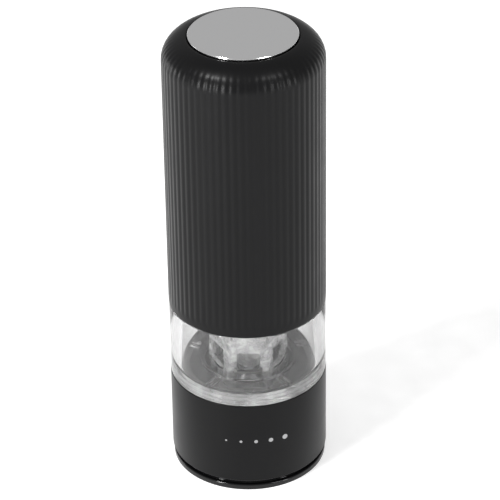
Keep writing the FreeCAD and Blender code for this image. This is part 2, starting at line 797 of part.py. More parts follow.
def make_drive_shaft():
    """The hexagonal drive shaft with its clip, spring cup and the spring that holds the rotor down."""
    bar_stock = prism("shaft_stock", "shaft_corner", "shaft_low", "shaft_high")
    groove = tube("shaft_groove", "shaft_corner + cut_over", "clip_groove", "clip_low", "clip_high")
    keep("drive_shaft", cut("drive_shaft", bar_stock, [groove]))
    ring = tube("clip_ring", "clip_radius", "clip_groove + run_gap", "clip_low + run_gap / 2",
                "clip_high - run_gap / 2")
    gap = bar("clip_gap", "0", "clip_radius + cut_over", "2 * clip_groove * clip_opening", "clip_low",
              "clip_high", CLIP_ANGLE)
    keep("shaft_clip", cut("shaft_clip", ring, [gap]))
    keep("spring_cup", turned("spring_cup", [
        ("shaft_round", "spring_top"), ("spring_cup_bore", "spring_top"),
        ("spring_cup_bore", "spring_top - spring_cup_skirt"),
        ("spring_cup_radius", "spring_top - spring_cup_skirt"),
        ("spring_cup_radius", "clip_low - spring_cup_wall"), ("spring_cup_bore", "clip_low"),
        ("shaft_round", "clip_low"),
    ]))
    keep("rotor_spring", coil("rotor_spring", "spring_ring", "rotor_spring_wire", "rotor_high",
                              "rotor_spring_height", ROTOR_SPRING_TURNS))


# --------------------------------------------------------------------------- handle casing
def make_sleeve():
    """The fluted sleeve: straight wall, shoulder of two tangent arcs, hole for the button."""
    body = doc.addObject("PartDesign::Body", "sleeve_turned")
    sketch = sketch_in(body, "sleeve_outline", "XZ_Plane")
    split = "shoulder_split * 1 deg"
    first_centre = "(body_radius - shoulder_side_arc)"
    rise = f"((shoulder_side_arc - shoulder_top_arc) * sin({split}) + shoulder_top_arc)"
    shoulder_low = f"(sleeve_top - {rise})"
    second_centre = f"({first_centre} + (shoulder_side_arc - shoulder_top_arc) * cos({split}))"
    second_level = "(sleeve_top - shoulder_top_arc)"
    joint = (f"{first_centre} + shoulder_side_arc * cos({split})",
             f"{shoulder_low} + shoulder_side_arc * sin({split})")
    cavity_top = "(button_hole + flange_over + flange_side_gap)"
    cavity_low = "(lip_under - cavity_rise)"
    run = value("button_hole") - value(second_centre)
    hole_level = value(second_level) + math.sqrt(value("shoulder_top_arc") ** 2 - run ** 2)
    first = Part.Circle(Vector(value(first_centre), value(shoulder_low), 0), Vector(0, 0, 1),
                        value("shoulder_side_arc"))
    second = Part.Circle(Vector(value(second_centre), value(second_level), 0), Vector(0, 0, 1),
                         value("shoulder_top_arc"))
    turn = math.radians(value("shoulder_split"))
    end = math.atan2(hole_level - value(second_level), run)
    wall = [(cavity_top, "lip_under"), ("sleeve_bore", cavity_low), ("sleeve_bore", "sleeve_low"),
            ("body_radius", "sleeve_low"), ("body_radius", shoulder_low)]
    hole = value("button_hole")
    spots = [Vector(hole, hole_level, 0), Vector(hole, value("lip_under"), 0)]
    spots += [Vector(value(radius), value(height), 0) for radius, height in wall]
    for start, finish in zip(spots[:-1], spots[1:]):
        sketch.addGeometry(Part.LineSegment(start, finish), False)
    last_line = len(spots) - 2
    side_arc = sketch.addGeometry(Part.ArcOfCircle(first, 0, turn), False)
    top_arc = sketch.addGeometry(Part.ArcOfCircle(second, turn, end), False)
    for index in range(last_line):
        sketch.addConstraint(Sketcher.Constraint("Coincident", index, 2, index + 1, 1))
    sketch.addConstraint(Sketcher.Constraint("Coincident", last_line, 2, side_arc, 1))
    sketch.addConstraint(Sketcher.Constraint("Coincident", side_arc, 2, top_arc, 1))
    sketch.addConstraint(Sketcher.Constraint("Coincident", top_arc, 2, 0, 1))
    pin_point(sketch, 0, 1, radius="button_hole")
    pin_point(sketch, 0, 2, "button_hole", "lip_under")
    for index, (radius, height) in enumerate(wall, start=1):
        pin_point(sketch, index, 2, radius, height)
    pin_point(sketch, side_arc, 3, first_centre, shoulder_low)
    pin_point(sketch, side_arc, 2, radius=joint[0])
    pin_point(sketch, top_arc, 3, second_centre, second_level)
    revolve(body, sketch)
    flute_count = round(2 * math.pi * value("body_radius") / value("flute_pitch"))
    flute_round = "((flute_width * flute_width / 4 + flute_depth * flute_depth) / (2 * flute_depth))"
    pocket_ring(body, "flutes", flute_round, f"body_radius - flute_depth + {flute_round}",
                "sleeve_low + flute_start", "overall_height", flute_count)
    bosses = [
        cylinder(f"sleeve_boss_{number}", "boss_radius", "plate_top", "plate_top + boss_height",
                 "boss_ring", f"boss_angle + {angle}")
        for number, angle in enumerate(around(SCREW_COUNT), start=1)
    ]
    bosses += [
        bar(f"sleeve_boss_web_{number}", "boss_ring", "sleeve_bore + sleeve_wall / 3", "boss_radius",
            "plate_top", "plate_top + boss_height", value("boss_angle") + angle)
        for number, angle in enumerate(around(SCREW_COUNT), start=1)
    ]
    drills = [
        cylinder(f"sleeve_drill_{number}", "screw_shank + run_gap", "plate_top",
                 "plate_top + boss_height - boss_end", "boss_ring", f"boss_angle + {angle}")
        for number, angle in enumerate(around(SCREW_COUNT), start=1)
    ]
    whole = fuse("sleeve_whole", [body] + bosses)
    keep("sleeve", cut("sleeve", whole, drills))


def make_bottom_plate():
    """The plate that closes the handle over the jar, with its three screws and the lamp."""
    blank = tube("plate_blank", "plate_radius", "output_radius + output_gap", "plate_low", "plate_top")
    head_top = "(plate_low + screw_head_thick)"
    tools, screws = [], []
    for number, angle in enumerate(around(SCREW_COUNT), start=1):
        where = f"boss_angle + {angle}"
        tools.append(cylinder(f"plate_hole_{number}", "screw_shank + run_gap", "plate_low", "plate_top",
                              "boss_ring", where))
        tools.append(cylinder(f"plate_sink_{number}", "screw_head + run_gap", "plate_low", head_top,
                              "boss_ring", where))
        screws.append(screw(f"plate_screw_{number}", "plate_low",
                            "plate_top + boss_height - boss_end - tip_gap", "plate_low", head_top,
                            "boss_ring", where))
        tools.append(cylinder(f"plate_ear_hole_{number}", "screw_shank + run_gap",
                              "plate_top - ear_screw_depth - fit_gap", "plate_top", "ear_ring",
                              f"ear_angle + {angle}"))
    keep("bottom_plate", cut("bottom_plate", blank, tools))
    keep("plate_screws", group("plate_screws", screws))
    lamp_level = "(light_low - lamp_height + lamp_radius)"
    dome = doc.addObject("Part::Sphere", "lamp_dome")
    dome.Angle2 = 0
    bind(dome, "Radius", "lamp_radius")
    place(dome, lamp_level, "light_ring", "90")
    stem = cylinder("lamp_stem", "lamp_radius", lamp_level, "light_low", "light_ring", "90")
    keep("work_light", fuse("work_light", [dome, stem]))
    keep("light_board", cylinder("light_board", "light_board_radius", "light_low", "plate_low",
                                 "light_ring", "90"))


# --------------------------------------------------------------------------- gearbox
def make_gearbox_case():
    """The case with the toothed ring of both stages and three screwed ears."""
    blank = tube("case_blank", "case_radius", "output_radius + run_gap", "plate_top", "motor_plate_low")
    ears, drills, screws = [], [], []
    for number, angle in enumerate(around(SCREW_COUNT), start=1):
        where = f"ear_angle + {angle}"
        ear_top = "(plate_top + ear_height)"
        ears.append(cylinder(f"case_ear_{number}", "ear_radius", "plate_top", ear_top, "ear_ring", where))
        drills.append(cylinder(f"case_drill_{number}", "screw_shank + run_gap", "plate_top", ear_top,
                               "ear_ring", where))
        screws.append(screw(f"gearbox_screw_{number}", "plate_top - ear_screw_depth", ear_top, ear_top,
                            f"{ear_top} + screw_head_thick", "ear_ring", where))
    teeth = gear_blank("case_teeth", int(value("ring_teeth")), "dedendum", "ring_addendum",
                       -value("tooth_play"), math.pi / value("ring_teeth"), "case_inside",
                       "motor_plate_low")
    whole = fuse("case_whole", [blank] + ears)
    keep("gearbox_case", cut("gearbox_case", whole, [teeth] + drills))
    keep("gearbox_screws", group("gearbox_screws", screws))


def sun_gear(name, low, high, bore=None):
    """A sun gear with a tooth on the +X axis, where the first planet has a gap."""
    return gear_blank(name, int(value("sun_teeth")), "addendum", "dedendum", value("tooth_play"), 0.0,
                      low, high, bore)


def make_stage(letter, low, carrier_low, carrier_top):
    """Three planets, evenly spread and in mesh, and the carrier disc and pins that hold them."""
    teeth = int(value("planet_teeth"))
    for number, angle in enumerate(around(PLANET_COUNT), start=1):
        planet = gear_blank(f"planet_{letter}_{number}", teeth, "addendum", "dedendum",
                            value("tooth_play"), math.pi / teeth, low, f"{low} + gear_width",
                            "pin_radius + run_gap")
        planet.Placement = FreeCAD.Placement(Vector(), FreeCAD.Rotation(Vector(0, 0, 1), angle))
        keep(f"planet_{letter}_{number}", place(planet, low, "pitch", f"{angle}"))
    disc = cylinder(f"carrier_{letter}_disc", "carrier_radius", carrier_low, carrier_top)
    pins = [
        cylinder(f"carrier_{letter}_pin_{number}", "pin_radius", carrier_top, f"{low} + gear_width",
                 "pitch", f"{angle}")
        for number, angle in enumerate(around(PLANET_COUNT), start=1)
    ]
    return [disc] + pins


def make_gear_train():
    """Motor pinion, first stage, second stage and the output socket that takes the shaft."""
    sun_low = "(planet_a_low - gear_clear / 2)"
    sun_high = "(planet_a_top + gear_clear)"
    keep("motor_pinion", sun_gear("motor_pinion", sun_low, sun_high, "motor_shaft"))
    first = make_stage("a", "planet_a_low", "carrier_a_low", "carrier_a_top")
    first.append(sun_gear("carrier_a_sun", "planet_b_low - gear_clear / 2", "carrier_a_low"))
    keep("first_carrier", fuse("first_carrier", first))
    second = make_stage("b", "planet_b_low", "carrier_b_low", "carrier_b_top")
    second.append(cylinder("output_stem", "output_radius", "output_low", "carrier_b_low"))
    socket = prism("output_socket", "shaft_corner + slip_gap", "output_low", "plate_top")
    keep("output_carrier", cut("output_carrier", fuse("output_whole", second), [socket]))


def make_motor():
    """Can motor on its plate, with end cap, terminals, shaft and two fixing screws."""
    plate = tube("motor_plate_blank", "case_radius", "motor_shaft + plate_bore_gap", "motor_plate_low",
                 "motor_low")
    holes, screws, drills = [], [], []
    head_top = "(motor_plate_low + screw_head_thick)"
    for number, angle in enumerate(("0", "180"), start=1):
        holes.append(cylinder(f"motor_hole_{number}", "screw_shank + run_gap", "motor_plate_low",
                              "motor_low", "motor_screw_ring", angle))
        holes.append(cylinder(f"motor_sink_{number}", "screw_head + run_gap", "motor_plate_low",
                              head_top, "motor_screw_ring", angle))
        screws.append(screw(f"motor_screw_{number}", "motor_plate_low", "motor_low + motor_screw_depth",
                            "motor_plate_low", head_top, "motor_screw_ring", angle))
        drills.append(cylinder(f"motor_drill_{number}", "screw_shank + run_gap", "motor_low",
                               "motor_low + motor_screw_depth + tip_gap", "motor_screw_ring", angle))
    keep("motor_plate", cut("motor_plate", plate, holes))
    keep("motor_screws", group("motor_screws", screws))
    shaft_top = "(motor_low + bearing_depth)"
    drills.append(cylinder("motor_bearing", "motor_shaft + run_gap", "motor_low", shaft_top))
    can = turned("motor_can_blank", [
        ("0", "motor_low"), ("motor_radius", "motor_low"), ("motor_radius", "motor_high - can_edge"),
        ("motor_radius - can_edge", "motor_high"), ("0", "motor_high"),
    ])
    keep("motor_can", cut("motor_can", can, drills))
    sun_low = "(planet_a_low - gear_clear / 2)"
    keep("motor_shaft", cylinder("motor_rod", "motor_shaft", sun_low, f"{shaft_top} - 2 * seat_gap"))
    cap_top_level = "(motor_high + endcap_height)"
    endcap = [cylinder("endcap_disc", "motor_radius - endcap_inset", "motor_high", cap_top_level)]
    endcap += [
        bar(f"endcap_tag_{number}", "tag_inner", "tag_outer", "tag_thick", cap_top_level,
            f"{cap_top_level} + tag_height", angle)
        for number, angle in enumerate((0.0, 180.0), start=1)
    ]
    keep("motor_endcap", fuse("motor_endcap", endcap))


# --------------------------------------------------------------------------- battery unit
def make_battery_holder():
    """Holder on three legs: six bays round the motor, contact strips and a cover."""
    strip_inner = "(cell_ring - cell_radius + strip_inset)"
    strip_outer = "(cell_ring + cell_radius - strip_inset)"
    strip_low_top = "(holder_deck + strip_thick)"
    strip_high_low = "(holder_cover_low - strip_thick)"
    solids = [
        tube("holder_disc", "plate_radius", "holder_tube_bore", "holder_low", "holder_deck"),
        tube("holder_tube", "holder_tube_outer", "holder_tube_bore", "holder_deck", "holder_cover_low"),
    ]
    for number, angle in enumerate(around(CELL_COUNT, 30.0), start=1):
        solids.append(bar(f"holder_web_{number}", "holder_tube_outer - weld", "cell_ring + web_reach",
                          "holder_web", "holder_deck", "holder_cover_low", angle))
    for number, angle in enumerate(around(SCREW_COUNT), start=1):
        solids.append(cylinder(f"holder_leg_{number}", "leg_radius", "plate_top", "holder_low",
                               "leg_ring", f"leg_angle + {angle}"))
    slots = [
        tube("strip_slot_low", f"{strip_outer} + fit_gap", f"{strip_inner} - fit_gap", "holder_deck",
             f"{strip_low_top} + fit_gap"),
        tube("strip_slot_high", f"{strip_outer} + fit_gap", f"{strip_inner} - fit_gap",
             f"{strip_high_low} - fit_gap", "holder_cover_low"),
    ]
    keep("battery_holder", cut("battery_holder", fuse("holder_whole", solids), slots))
    for name, low, high, start in (("lower_contacts", "holder_deck", strip_low_top, 30.0),
                                   ("upper_contacts", strip_high_low, "holder_cover_low", 90.0)):
        ring = tube(name + "_ring", strip_outer, strip_inner, low, high)
        gaps = [
            bar(f"{name}_gap_{number}", "0", "body_radius", "strip_gap", low, high, angle)
            for number, angle in enumerate(around(3, start), start=1)
        ]
        keep(name, cut(name, ring, gaps))
    cover = tube("cover_disc", "plate_radius", "holder_tube_bore", "holder_cover_low", "holder_cover_top")
    posts = [
        cylinder(f"cover_post_{number}", "leg_radius - post_step", "holder_cover_top", "guide_low",
                 "leg_ring", f"leg_angle + {angle}")
        for number, angle in enumerate(around(SCREW_COUNT), start=1)
    ]
    keep("holder_cover", fuse("holder_cover", [cover] + posts))


def make_cells():
    """Six cells in series, so they stand alternately up and down, each on its own spring."""
    low = "(holder_deck + strip_thick)"
    high = "(holder_cover_low - strip_thick)"
    lower, upper = [], []
    for number, angle in enumerate(around(CELL_COUNT), start=1):
        where = f"{angle}"
        if number % 2:
            can_low = f"({low} + cell_spring_height)"
            nub = (f"{can_low} + cell_length", high)
            spring_low = low
            springs = lower
        else:
            can_low = f"({low} + cell_nub)"
            nub = (low, can_low)
            spring_low = f"({high} - cell_spring_height)"
            springs = upper
        can = cylinder(f"cell_can_{number}", "cell_radius", can_low, f"{can_low} + cell_length",
                       "cell_ring", where)
        tip = cylinder(f"cell_nub_{number}", "cell_nub_radius", nub[0], nub[1], "cell_ring", where)
        keep(f"cell_{number}", fuse(f"cell_{number}", [can, tip]))
        spring = coil(f"cell_spring_{number}", "cell_radius / 2", "cell_spring_wire", spring_low,
                      "cell_spring_height", CELL_SPRING_TURNS)
        springs.append(place(spring, f"{spring_low} + cell_spring_wire", "cell_ring", where))
    keep("lower_springs", group("lower_springs", lower))
    keep("upper_springs", group("upper_springs", upper))


# --------------------------------------------------------------------------- push button
def make_button():
    """Metal button cap on a plunger that is held under the sleeve's lip and guided by pins."""
    cap = turned("cap_turned", [
        ("button_radius - button_skin", "flange_high"), ("button_radius", "flange_high"),
        ("button_radius", "overall_height - button_edge"),
        ("button_radius - button_edge", "overall_height"), ("0", "overall_height"),
        ("0", "overall_height - button_skin - button_edge"),
        ("button_radius - button_skin", "overall_height - button_skin - button_edge"),
    ])
    keep("button_cap", cap)
    pins = [
        cylinder(f"plunger_pin_{number}", "guide_pin", "guide_low + button_travel - pin_reach",
                 "plunger_low", "guide_pin_ring", f"{angle}")
        for number, angle in enumerate(around(SCREW_COUNT, 90.0), start=1)
    ]
    flange = cylinder("plunger_flange", "button_hole + flange_over", "plunger_low", "flange_high")
    boss = cylinder("plunger_boss", "button_radius - button_skin - fit_gap", "flange_high",
                    "overall_height - button_skin - button_edge")
    stem = cylinder("plunger_stem", "dome_radius / 2", "dome_top", "plunger_low")
    keep("button_plunger", fuse("button_plunger", [flange, boss, stem] + pins))
    plate = cylinder("guide_disc", "plate_radius", "guide_low", "guide_top")
    holes = [
        cylinder(f"guide_hole_{number}", "guide_pin + slip_gap", "guide_low", "guide_top",
                 "guide_pin_ring", f"{angle}")
        for number, angle in enumerate(around(SCREW_COUNT, 90.0), start=1)
    ]
    keep("button_guide", cut("button_guide", plate, holes))
    keep("switch_board", cylinder("switch_board", "board_radius", "guide_top",
                                  "guide_top + board_thick"))
    keep("switch_dome", turned("switch_dome", [
        ("0", "guide_top + board_thick"), ("dome_radius", "guide_top + board_thick"),
        ("dome_radius", "guide_top + board_thick + dome_rim"), ("dome_radius * 0.6", "dome_top"),
        ("0", "dome_top"),
    ]))
    keep("button_spring", coil("button_spring", "button_spring_radius", "button_spring_wire",
                               "guide_top", "button_spring_height", BUTTON_SPRING_TURNS))


# --------------------------------------------------------------------------- build
make_dust_cap()
make_base_shell()
make_jar()
make_shaft_guard()
make_shaft_tube()
make_grinder_housing()
make_burrs()
make_outlet_bridge()
make_adjuster()
make_drive_shaft()
make_sleeve()
make_bottom_plate()
make_gearbox_case()
make_gear_train()
make_motor()
make_battery_holder()
make_cells()
make_button()
doc.recompute()

failed = [item.Name for item in doc.Objects if {"Invalid", "Error"} & set(item.State)]
if failed:
    raise RuntimeError(f"features failed: {failed}")
for name, item in nodes.items():
    if item.Shape.isNull() or not item.Shape.isValid() or not item.Shape.Solids:
        raise RuntimeError(f"{name} has no valid solid")

os.makedirs("parts", exist_ok=True)
for name, item in nodes.items():
    item.Shape.exportStep(f"parts/{name}.step")
print(f"{len(nodes)} nodes written")
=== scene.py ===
"""Looks of the pepper mill: smooth turned skins, clear jar, metal button and every finish.

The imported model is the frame. Pieces that need a finer shape than the frame gives are made
here as surfaces on a grid and stand for their nodes; all other nodes get a finish. Sizes in
the classes are millimetres in the frame's own axes: +Z up, -Y to the front, origin under the
middle of the foot. MM turns them into metres when a mesh is made.
"""

import json
import logging
import math
from dataclasses import dataclass, field
from enum import Enum

import bmesh
import bpy
import numpy as np
from mathutils import Matrix, Vector

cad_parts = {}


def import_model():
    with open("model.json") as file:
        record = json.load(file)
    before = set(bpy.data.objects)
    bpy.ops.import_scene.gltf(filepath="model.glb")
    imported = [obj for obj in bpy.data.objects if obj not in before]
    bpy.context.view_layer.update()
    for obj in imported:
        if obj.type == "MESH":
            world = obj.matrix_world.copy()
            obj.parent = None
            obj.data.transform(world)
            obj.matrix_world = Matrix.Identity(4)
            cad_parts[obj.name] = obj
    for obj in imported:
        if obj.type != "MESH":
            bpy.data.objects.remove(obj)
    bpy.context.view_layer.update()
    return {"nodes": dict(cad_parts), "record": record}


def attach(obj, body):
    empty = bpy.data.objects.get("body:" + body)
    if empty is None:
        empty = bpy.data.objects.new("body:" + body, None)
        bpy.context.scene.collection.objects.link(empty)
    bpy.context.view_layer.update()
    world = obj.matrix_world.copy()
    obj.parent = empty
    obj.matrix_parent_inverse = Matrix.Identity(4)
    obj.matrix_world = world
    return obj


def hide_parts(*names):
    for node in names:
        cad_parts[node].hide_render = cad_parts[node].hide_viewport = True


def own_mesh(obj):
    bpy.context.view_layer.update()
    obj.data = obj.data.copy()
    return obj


MM = 0.001
TURN = 2.0 * math.pi
CREASE = 38.0  # degrees past which an edge stays sharp, where a piece has no angle of its own
Socket = bpy.types.NodeSocket
Piece = bpy.types.Object
Material = bpy.types.Material
log = logging.getLogger("pepper_mill")


# ---- surfaces
@dataclass(frozen=True)
class Corner:
    """A corner of a turned outline: radius, height and how much of it is rounded, in mm."""

    radius: float
    height: float
    soft: float = 0.0


def soft_outline(corners: list[Corner], steps: int = 5) -> np.ndarray:
    """Round the corners of a closed outline.

    Each corner P is swapped for the quadratic curve (1-t)^2 A + 2t(1-t) P + t^2 B, where A and
    B lie on its two sides, as far from P as the corner is soft, but under half a side.

    Args:
        corners: The outline's corners in order.
        steps: Stretches in each rounded corner.

    Returns:
        Points (radius, height) of the closed outline, shape (n, 2), in mm.
    """
    spots = np.array([(c.radius, c.height) for c in corners])
    soft = np.array([c.soft for c in corners])
    ahead = np.roll(spots, -1, axis=0) - spots
    length = np.linalg.norm(ahead, axis=1)
    back = np.roll(spots, 1, axis=0) - spots
    back_length = np.roll(length, 1)
    reach = np.minimum(soft, 0.48 * np.minimum(length, back_length))[:, None]
    first = spots + back / back_length[:, None] * reach
    last = spots + ahead / length[:, None] * reach
    t = np.linspace(0.0, 1.0, steps + 1)[None, :, None]
    curve = (1 - t) ** 2 * first[:, None] + 2 * t * (1 - t) * spots[:, None] + t**2 * last[:, None]
    flat = curve.reshape(-1, 2)
    keep = np.linalg.norm(flat - np.roll(flat, 1, axis=0), axis=1) > 1e-5
    return flat[keep]


def turned_grid(outline: np.ndarray, columns: int) -> np.ndarray:
    """Carry an outline round the Z axis: point (r, z) at angle a goes to (r cos a, r sin a, z).

    Args:
        outline: Points (radius, height), shape (n, 2).
        columns: Steps round the axis.

    Returns:
        Grid of points, shape (n, columns, 3).
    """
    angle = np.arange(columns) / columns * TURN
    radius, height = outline[:, :1], outline[:, 1:]
    return np.stack([radius * np.cos(angle), radius * np.sin(angle), height + 0.0 * angle], axis=-1)


@dataclass
class GridPiece:
    """A mesh whose points lie on a grid of rows and columns.

    Attributes:
        name: Name of the finished object.
        points: Grid of points in mm, shape (rows, columns, 3).
        rows_closed: The last row joins the first one.
        columns_closed: The last column joins the first one.
        holes: Optional mask of left-out cells, shape (row cells, column cells).
        crease: Angle past which an edge stays sharp, in degrees.
    """

    name: str
    points: np.ndarray
    rows_closed: bool = True
    columns_closed: bool = True
    holes: np.ndarray | None = None
    crease: float = CREASE

    def cells(self) -> np.ndarray:
        """Corner numbers of each kept four-sided cell, shape (cells, 4)."""
        rows, columns = self.points.shape[:2]
        row = np.arange(rows if self.rows_closed else rows - 1)[:, None]
        column = np.arange(columns if self.columns_closed else columns - 1)[None, :]
        below, above = row * columns, (row + 1) % rows * columns
        right = (column + 1) % columns
        quads = np.stack([below + column, below + right, above + right, above + column], axis=-1)
        if self.holes is not None:
            return quads[~self.holes]
        return quads.reshape(-1, 4)

    def build(self) -> Piece:
        """Make the object, with its doubles merged, faces outward and creases kept."""
        mesh = bpy.data.meshes.new(self.name)
        quads = self.cells()
        mesh.from_pydata((self.points.reshape(-1, 3) * MM).tolist(), [], quads.tolist())
        soften(mesh, self.crease)
        piece = bpy.data.objects.new(self.name, mesh)
        bpy.context.scene.collection.objects.link(piece)
        return piece


def soften(mesh: bpy.types.Mesh, crease: float) -> None:
    """Merge doubles, drop loose points, turn the faces outward and shade smooth up to a crease.

    Args:
        mesh: The mesh to finish.
        crease: Angle past which an edge stays sharp, in degrees.
    """
    work = bmesh.new()
    work.from_mesh(mesh)
    bmesh.ops.remove_doubles(work, verts=work.verts, dist=1e-7)
    bmesh.ops.dissolve_degenerate(work, edges=work.edges, dist=1e-8)
    bmesh.ops.delete(work, geom=[v for v in work.verts if not v.link_faces], context="VERTS")
    bmesh.ops.recalc_face_normals(work, faces=work.faces)
    work.to_mesh(mesh)
    work.free()
    mesh.polygons.foreach_set("use_smooth", np.ones(len(mesh.polygons), dtype=bool))
    mesh.set_sharp_from_angle(angle=math.radians(crease))
    mesh.update()


def joined(name: str, pieces: list[Piece]) -> Piece:
    """Join finished pieces into one object of that name.

    Args:
        name: Name of the joined object.
        pieces: Objects at the origin, all meshes.

    Returns:
        The joined object.
    """
    work = bmesh.new()
    for piece in pieces:
        work.from_mesh(piece.data)
    mesh = bpy.data.meshes.new(name)
    work.to_mesh(mesh)
    work.free()
    for piece in pieces:
        bpy.data.objects.remove(piece)
    mesh.set_sharp_from_angle(angle=math.radians(CREASE))
    whole = bpy.data.objects.new(name, mesh)
    bpy.context.scene.collection.objects.link(whole)
    return whole


def lathe(name: str, corners: list[Corner], columns: int = 256, crease: float = CREASE) -> Piece:
    """Turn a closed outline with softened corners into a finished object.

    Args:
        name: Name of the object.
        corners: Outline in mm.
        columns: Steps round the axis.
        crease: Angle past which an edge stays sharp, in degrees.

    Returns:
        The object.
    """
    return GridPiece(name, turned_grid(soft_outline(corners), columns), crease=crease).build()


def smooth_step(value: np.ndarray) -> np.ndarray:
    """3x^2 - 2x^3 of a value held between 0 and 1."""
    x = np.clip(value, 0.0, 1.0)
    return x * x * (3.0 - 2.0 * x)


# ---- finishes
class Bench:
    """Adds nodes to one new material and links them.

    Attributes:
        material: The material being made.
        shader: Its Principled shader.
    """

    def __init__(self, name: str) -> None:
        """Start a material of that name with a shader and an output."""
        self.material = bpy.data.materials.new(name)
        self.material.use_nodes = True
        tree = self.material.node_tree
        tree.nodes.clear()
        self.nodes, self.links = tree.nodes, tree.links
        output = self.nodes.new("ShaderNodeOutputMaterial")
        self.shader = self.nodes.new("ShaderNodeBsdfPrincipled")
        self.links.new(self.shader.outputs["BSDF"], output.inputs["Surface"])
        self.place = self.nodes.new("ShaderNodeTexCoord").outputs["Object"]

    def set(self, **values: object) -> None:
        """Set the shader's own sockets; underscores in the keywords stand for spaces."""
        for key, value in values.items():
            self.shader.inputs[key.replace("_", " ")].default_value = value

    def noise(self, scale: float, detail: float = 3.0, stretch: tuple = (1, 1, 1)) -> Socket:
        """Noise over the piece's own coordinates.

        Args:
            scale: Grains per metre.
            detail: Octaves.
            stretch: Scale along each axis, for brushed grain.

        Returns:
            The socket that gives the noise from 0 to 1.
        """
        mapping = self.nodes.new("ShaderNodeMapping")
        mapping.inputs["Scale"].default_value = stretch
        grain = self.nodes.new("ShaderNodeTexNoise")
        grain.inputs["Scale"].default_value = scale
        grain.inputs["Detail"].default_value = detail
        self.links.new(self.place, mapping.inputs["Vector"])
        self.links.new(mapping.outputs["Vector"], grain.inputs["Vector"])
        return grain.outputs["Fac"]

    def spread(self, source: Socket, low: float, high: float) -> Socket:
        """Stretch the middle of a noise to the range from low to high.

        Args:
            source: Socket from 0 to 1.
            low: Result where the noise is 0.3.
            high: Result where the noise is 0.7.

        Returns:
            The socket with the stretched value.
        """
        return self.ramp(source, 0.3, 0.7, low, high)

    def ramp(self, source: Socket, start: float, end: float, low: float, high: float) -> Socket:
        """Go from low to high as the source goes from start to end, and stay flat outside.

        Args:
            source: Value socket.
            start: Source value that gives low.
            end: Source value that gives high.
            low: Result at the start.
            high: Result at the end.

        Returns:
            The result socket.
        """
        node = self.nodes.new("ShaderNodeMapRange")
        ends = (("From Min", start), ("From Max", end), ("To Min", low), ("To Max", high))
        for key, value in ends:
            node.inputs[key].default_value = value
        self.links.new(source, node.inputs["Value"])
        return node.outputs["Result"]

    def axis(self, letter: str) -> Socket:
        """The piece's own coordinate along X, Y or Z, in metres."""
        axes = self.nodes.new("ShaderNodeSeparateXYZ")
        self.links.new(self.place, axes.inputs["Vector"])
        return axes.outputs[letter]

    def math(self, operation: str, *sources: Socket) -> Socket:
        """Result of a maths node of that operation on the sources."""
        node = self.nodes.new("ShaderNodeMath")
        node.operation = operation
        for number, source in enumerate(sources):
            self.links.new(source, node.inputs[number])
        return node.outputs["Value"]

    def roughness(self, source: Socket, low: float, high: float) -> None:
        """Vary the roughness with a noise between low and high."""
        self.links.new(self.spread(source, low, high), self.shader.inputs["Roughness"])

    def bump(self, source: Socket, depth: float, below: Socket | None = None) -> Socket:
        """Raise the surface by a noise.

        Args:
            source: Height from 0 to 1.
            depth: Height in metres.
            below: Normal socket of a bump underneath, or None.

        Returns:
            The normal socket.
        """
        node = self.nodes.new("ShaderNodeBump")
        node.inputs["Distance"].default_value = depth
        self.links.new(source, node.inputs["Height"])
        if below is not None:
            self.links.new(below, node.inputs["Normal"])
        self.links.new(node.outputs["Normal"], self.shader.inputs["Normal"])
        return node.outputs["Normal"]

    def blend(self, source: Socket, first: tuple, second: tuple) -> Socket:
        """Colour that goes from first to second with a 0 to 1 value.

        Args:
            source: Value socket.
            first: Colour at 0.
            second: Colour at 1.

        Returns:
            The colour socket.
        """
        node = self.nodes.new("ShaderNodeMix")
        node.data_type = "RGBA"  # its colours are inputs 6 and 7 and output 2
        node.inputs[6].default_value = (*first, 1.0)
        node.inputs[7].default_value = (*second, 1.0)
        self.links.new(source, node.inputs[0])
        return node.outputs[2]

    def colour(self, source: Socket) -> None:
        """Drive the base colour."""
        self.links.new(source, self.shader.inputs["Base Color"])


def shade(colour: tuple, factor: float) -> tuple:
    """A colour made lighter or darker by a factor."""
    return tuple(min(1.0, channel * factor) for channel in colour)


@dataclass(frozen=True)
class Moulded:
    """Moulded or painted plastic with a fine grain.

    Attributes:
        name: Name of the material.
        colour: Base colour, linear.
        gloss: Middle roughness.
        swing: Change in roughness either way.
        grain: Grains per metre.
        depth: Grain height in metres.
        sheen: Soft-touch sheen weight.
        level: Specular level.
        milk: Light that goes under the surface, for nylon.
        cloud: Patches of gloss and colour per metre.
        mottle: Change in colour either way, as a share.
    """

    name: str
    colour: tuple
    gloss: float = 0.4
    swing: float = 0.05
    grain: float = 2600.0
    depth: float = 4e-6
    sheen: float = 0.0
    level: float = 0.5
    milk: float = 0.0
    cloud: float = 90.0
    mottle: float = 0.12

    def material(self) -> Material:
        """Make the material."""
        bench = Bench(self.name)
        bench.set(Specular_IOR_Level=self.level, Sheen_Weight=self.sheen, Sheen_Roughness=0.4)
        if self.milk:
            bench.set(Subsurface_Weight=self.milk, Subsurface_Scale=0.0015)
            bench.set(Subsurface_Radius=(1.0, 0.9, 0.8))
        cloud = bench.noise(self.cloud, 2.0)
        bench.roughness(cloud, self.gloss - self.swing, self.gloss + self.swing)
        dark, light = shade(self.colour, 1.0 - self.mottle), shade(self.colour, 1.0 + self.mottle)
        bench.colour(bench.blend(cloud, dark, light))
        bench.bump(bench.noise(self.grain, 4.0), self.depth)
        return bench.material


class Brushing(Enum):
    """Which way a metal's fine marks run, as the stretch of its grain along X, Y and Z."""

    BLASTED = (1.0, 1.0, 1.0)
    ALONG = (1.0, 1.0, 0.04)
    ROUND = (0.06, 0.06, 1.0)


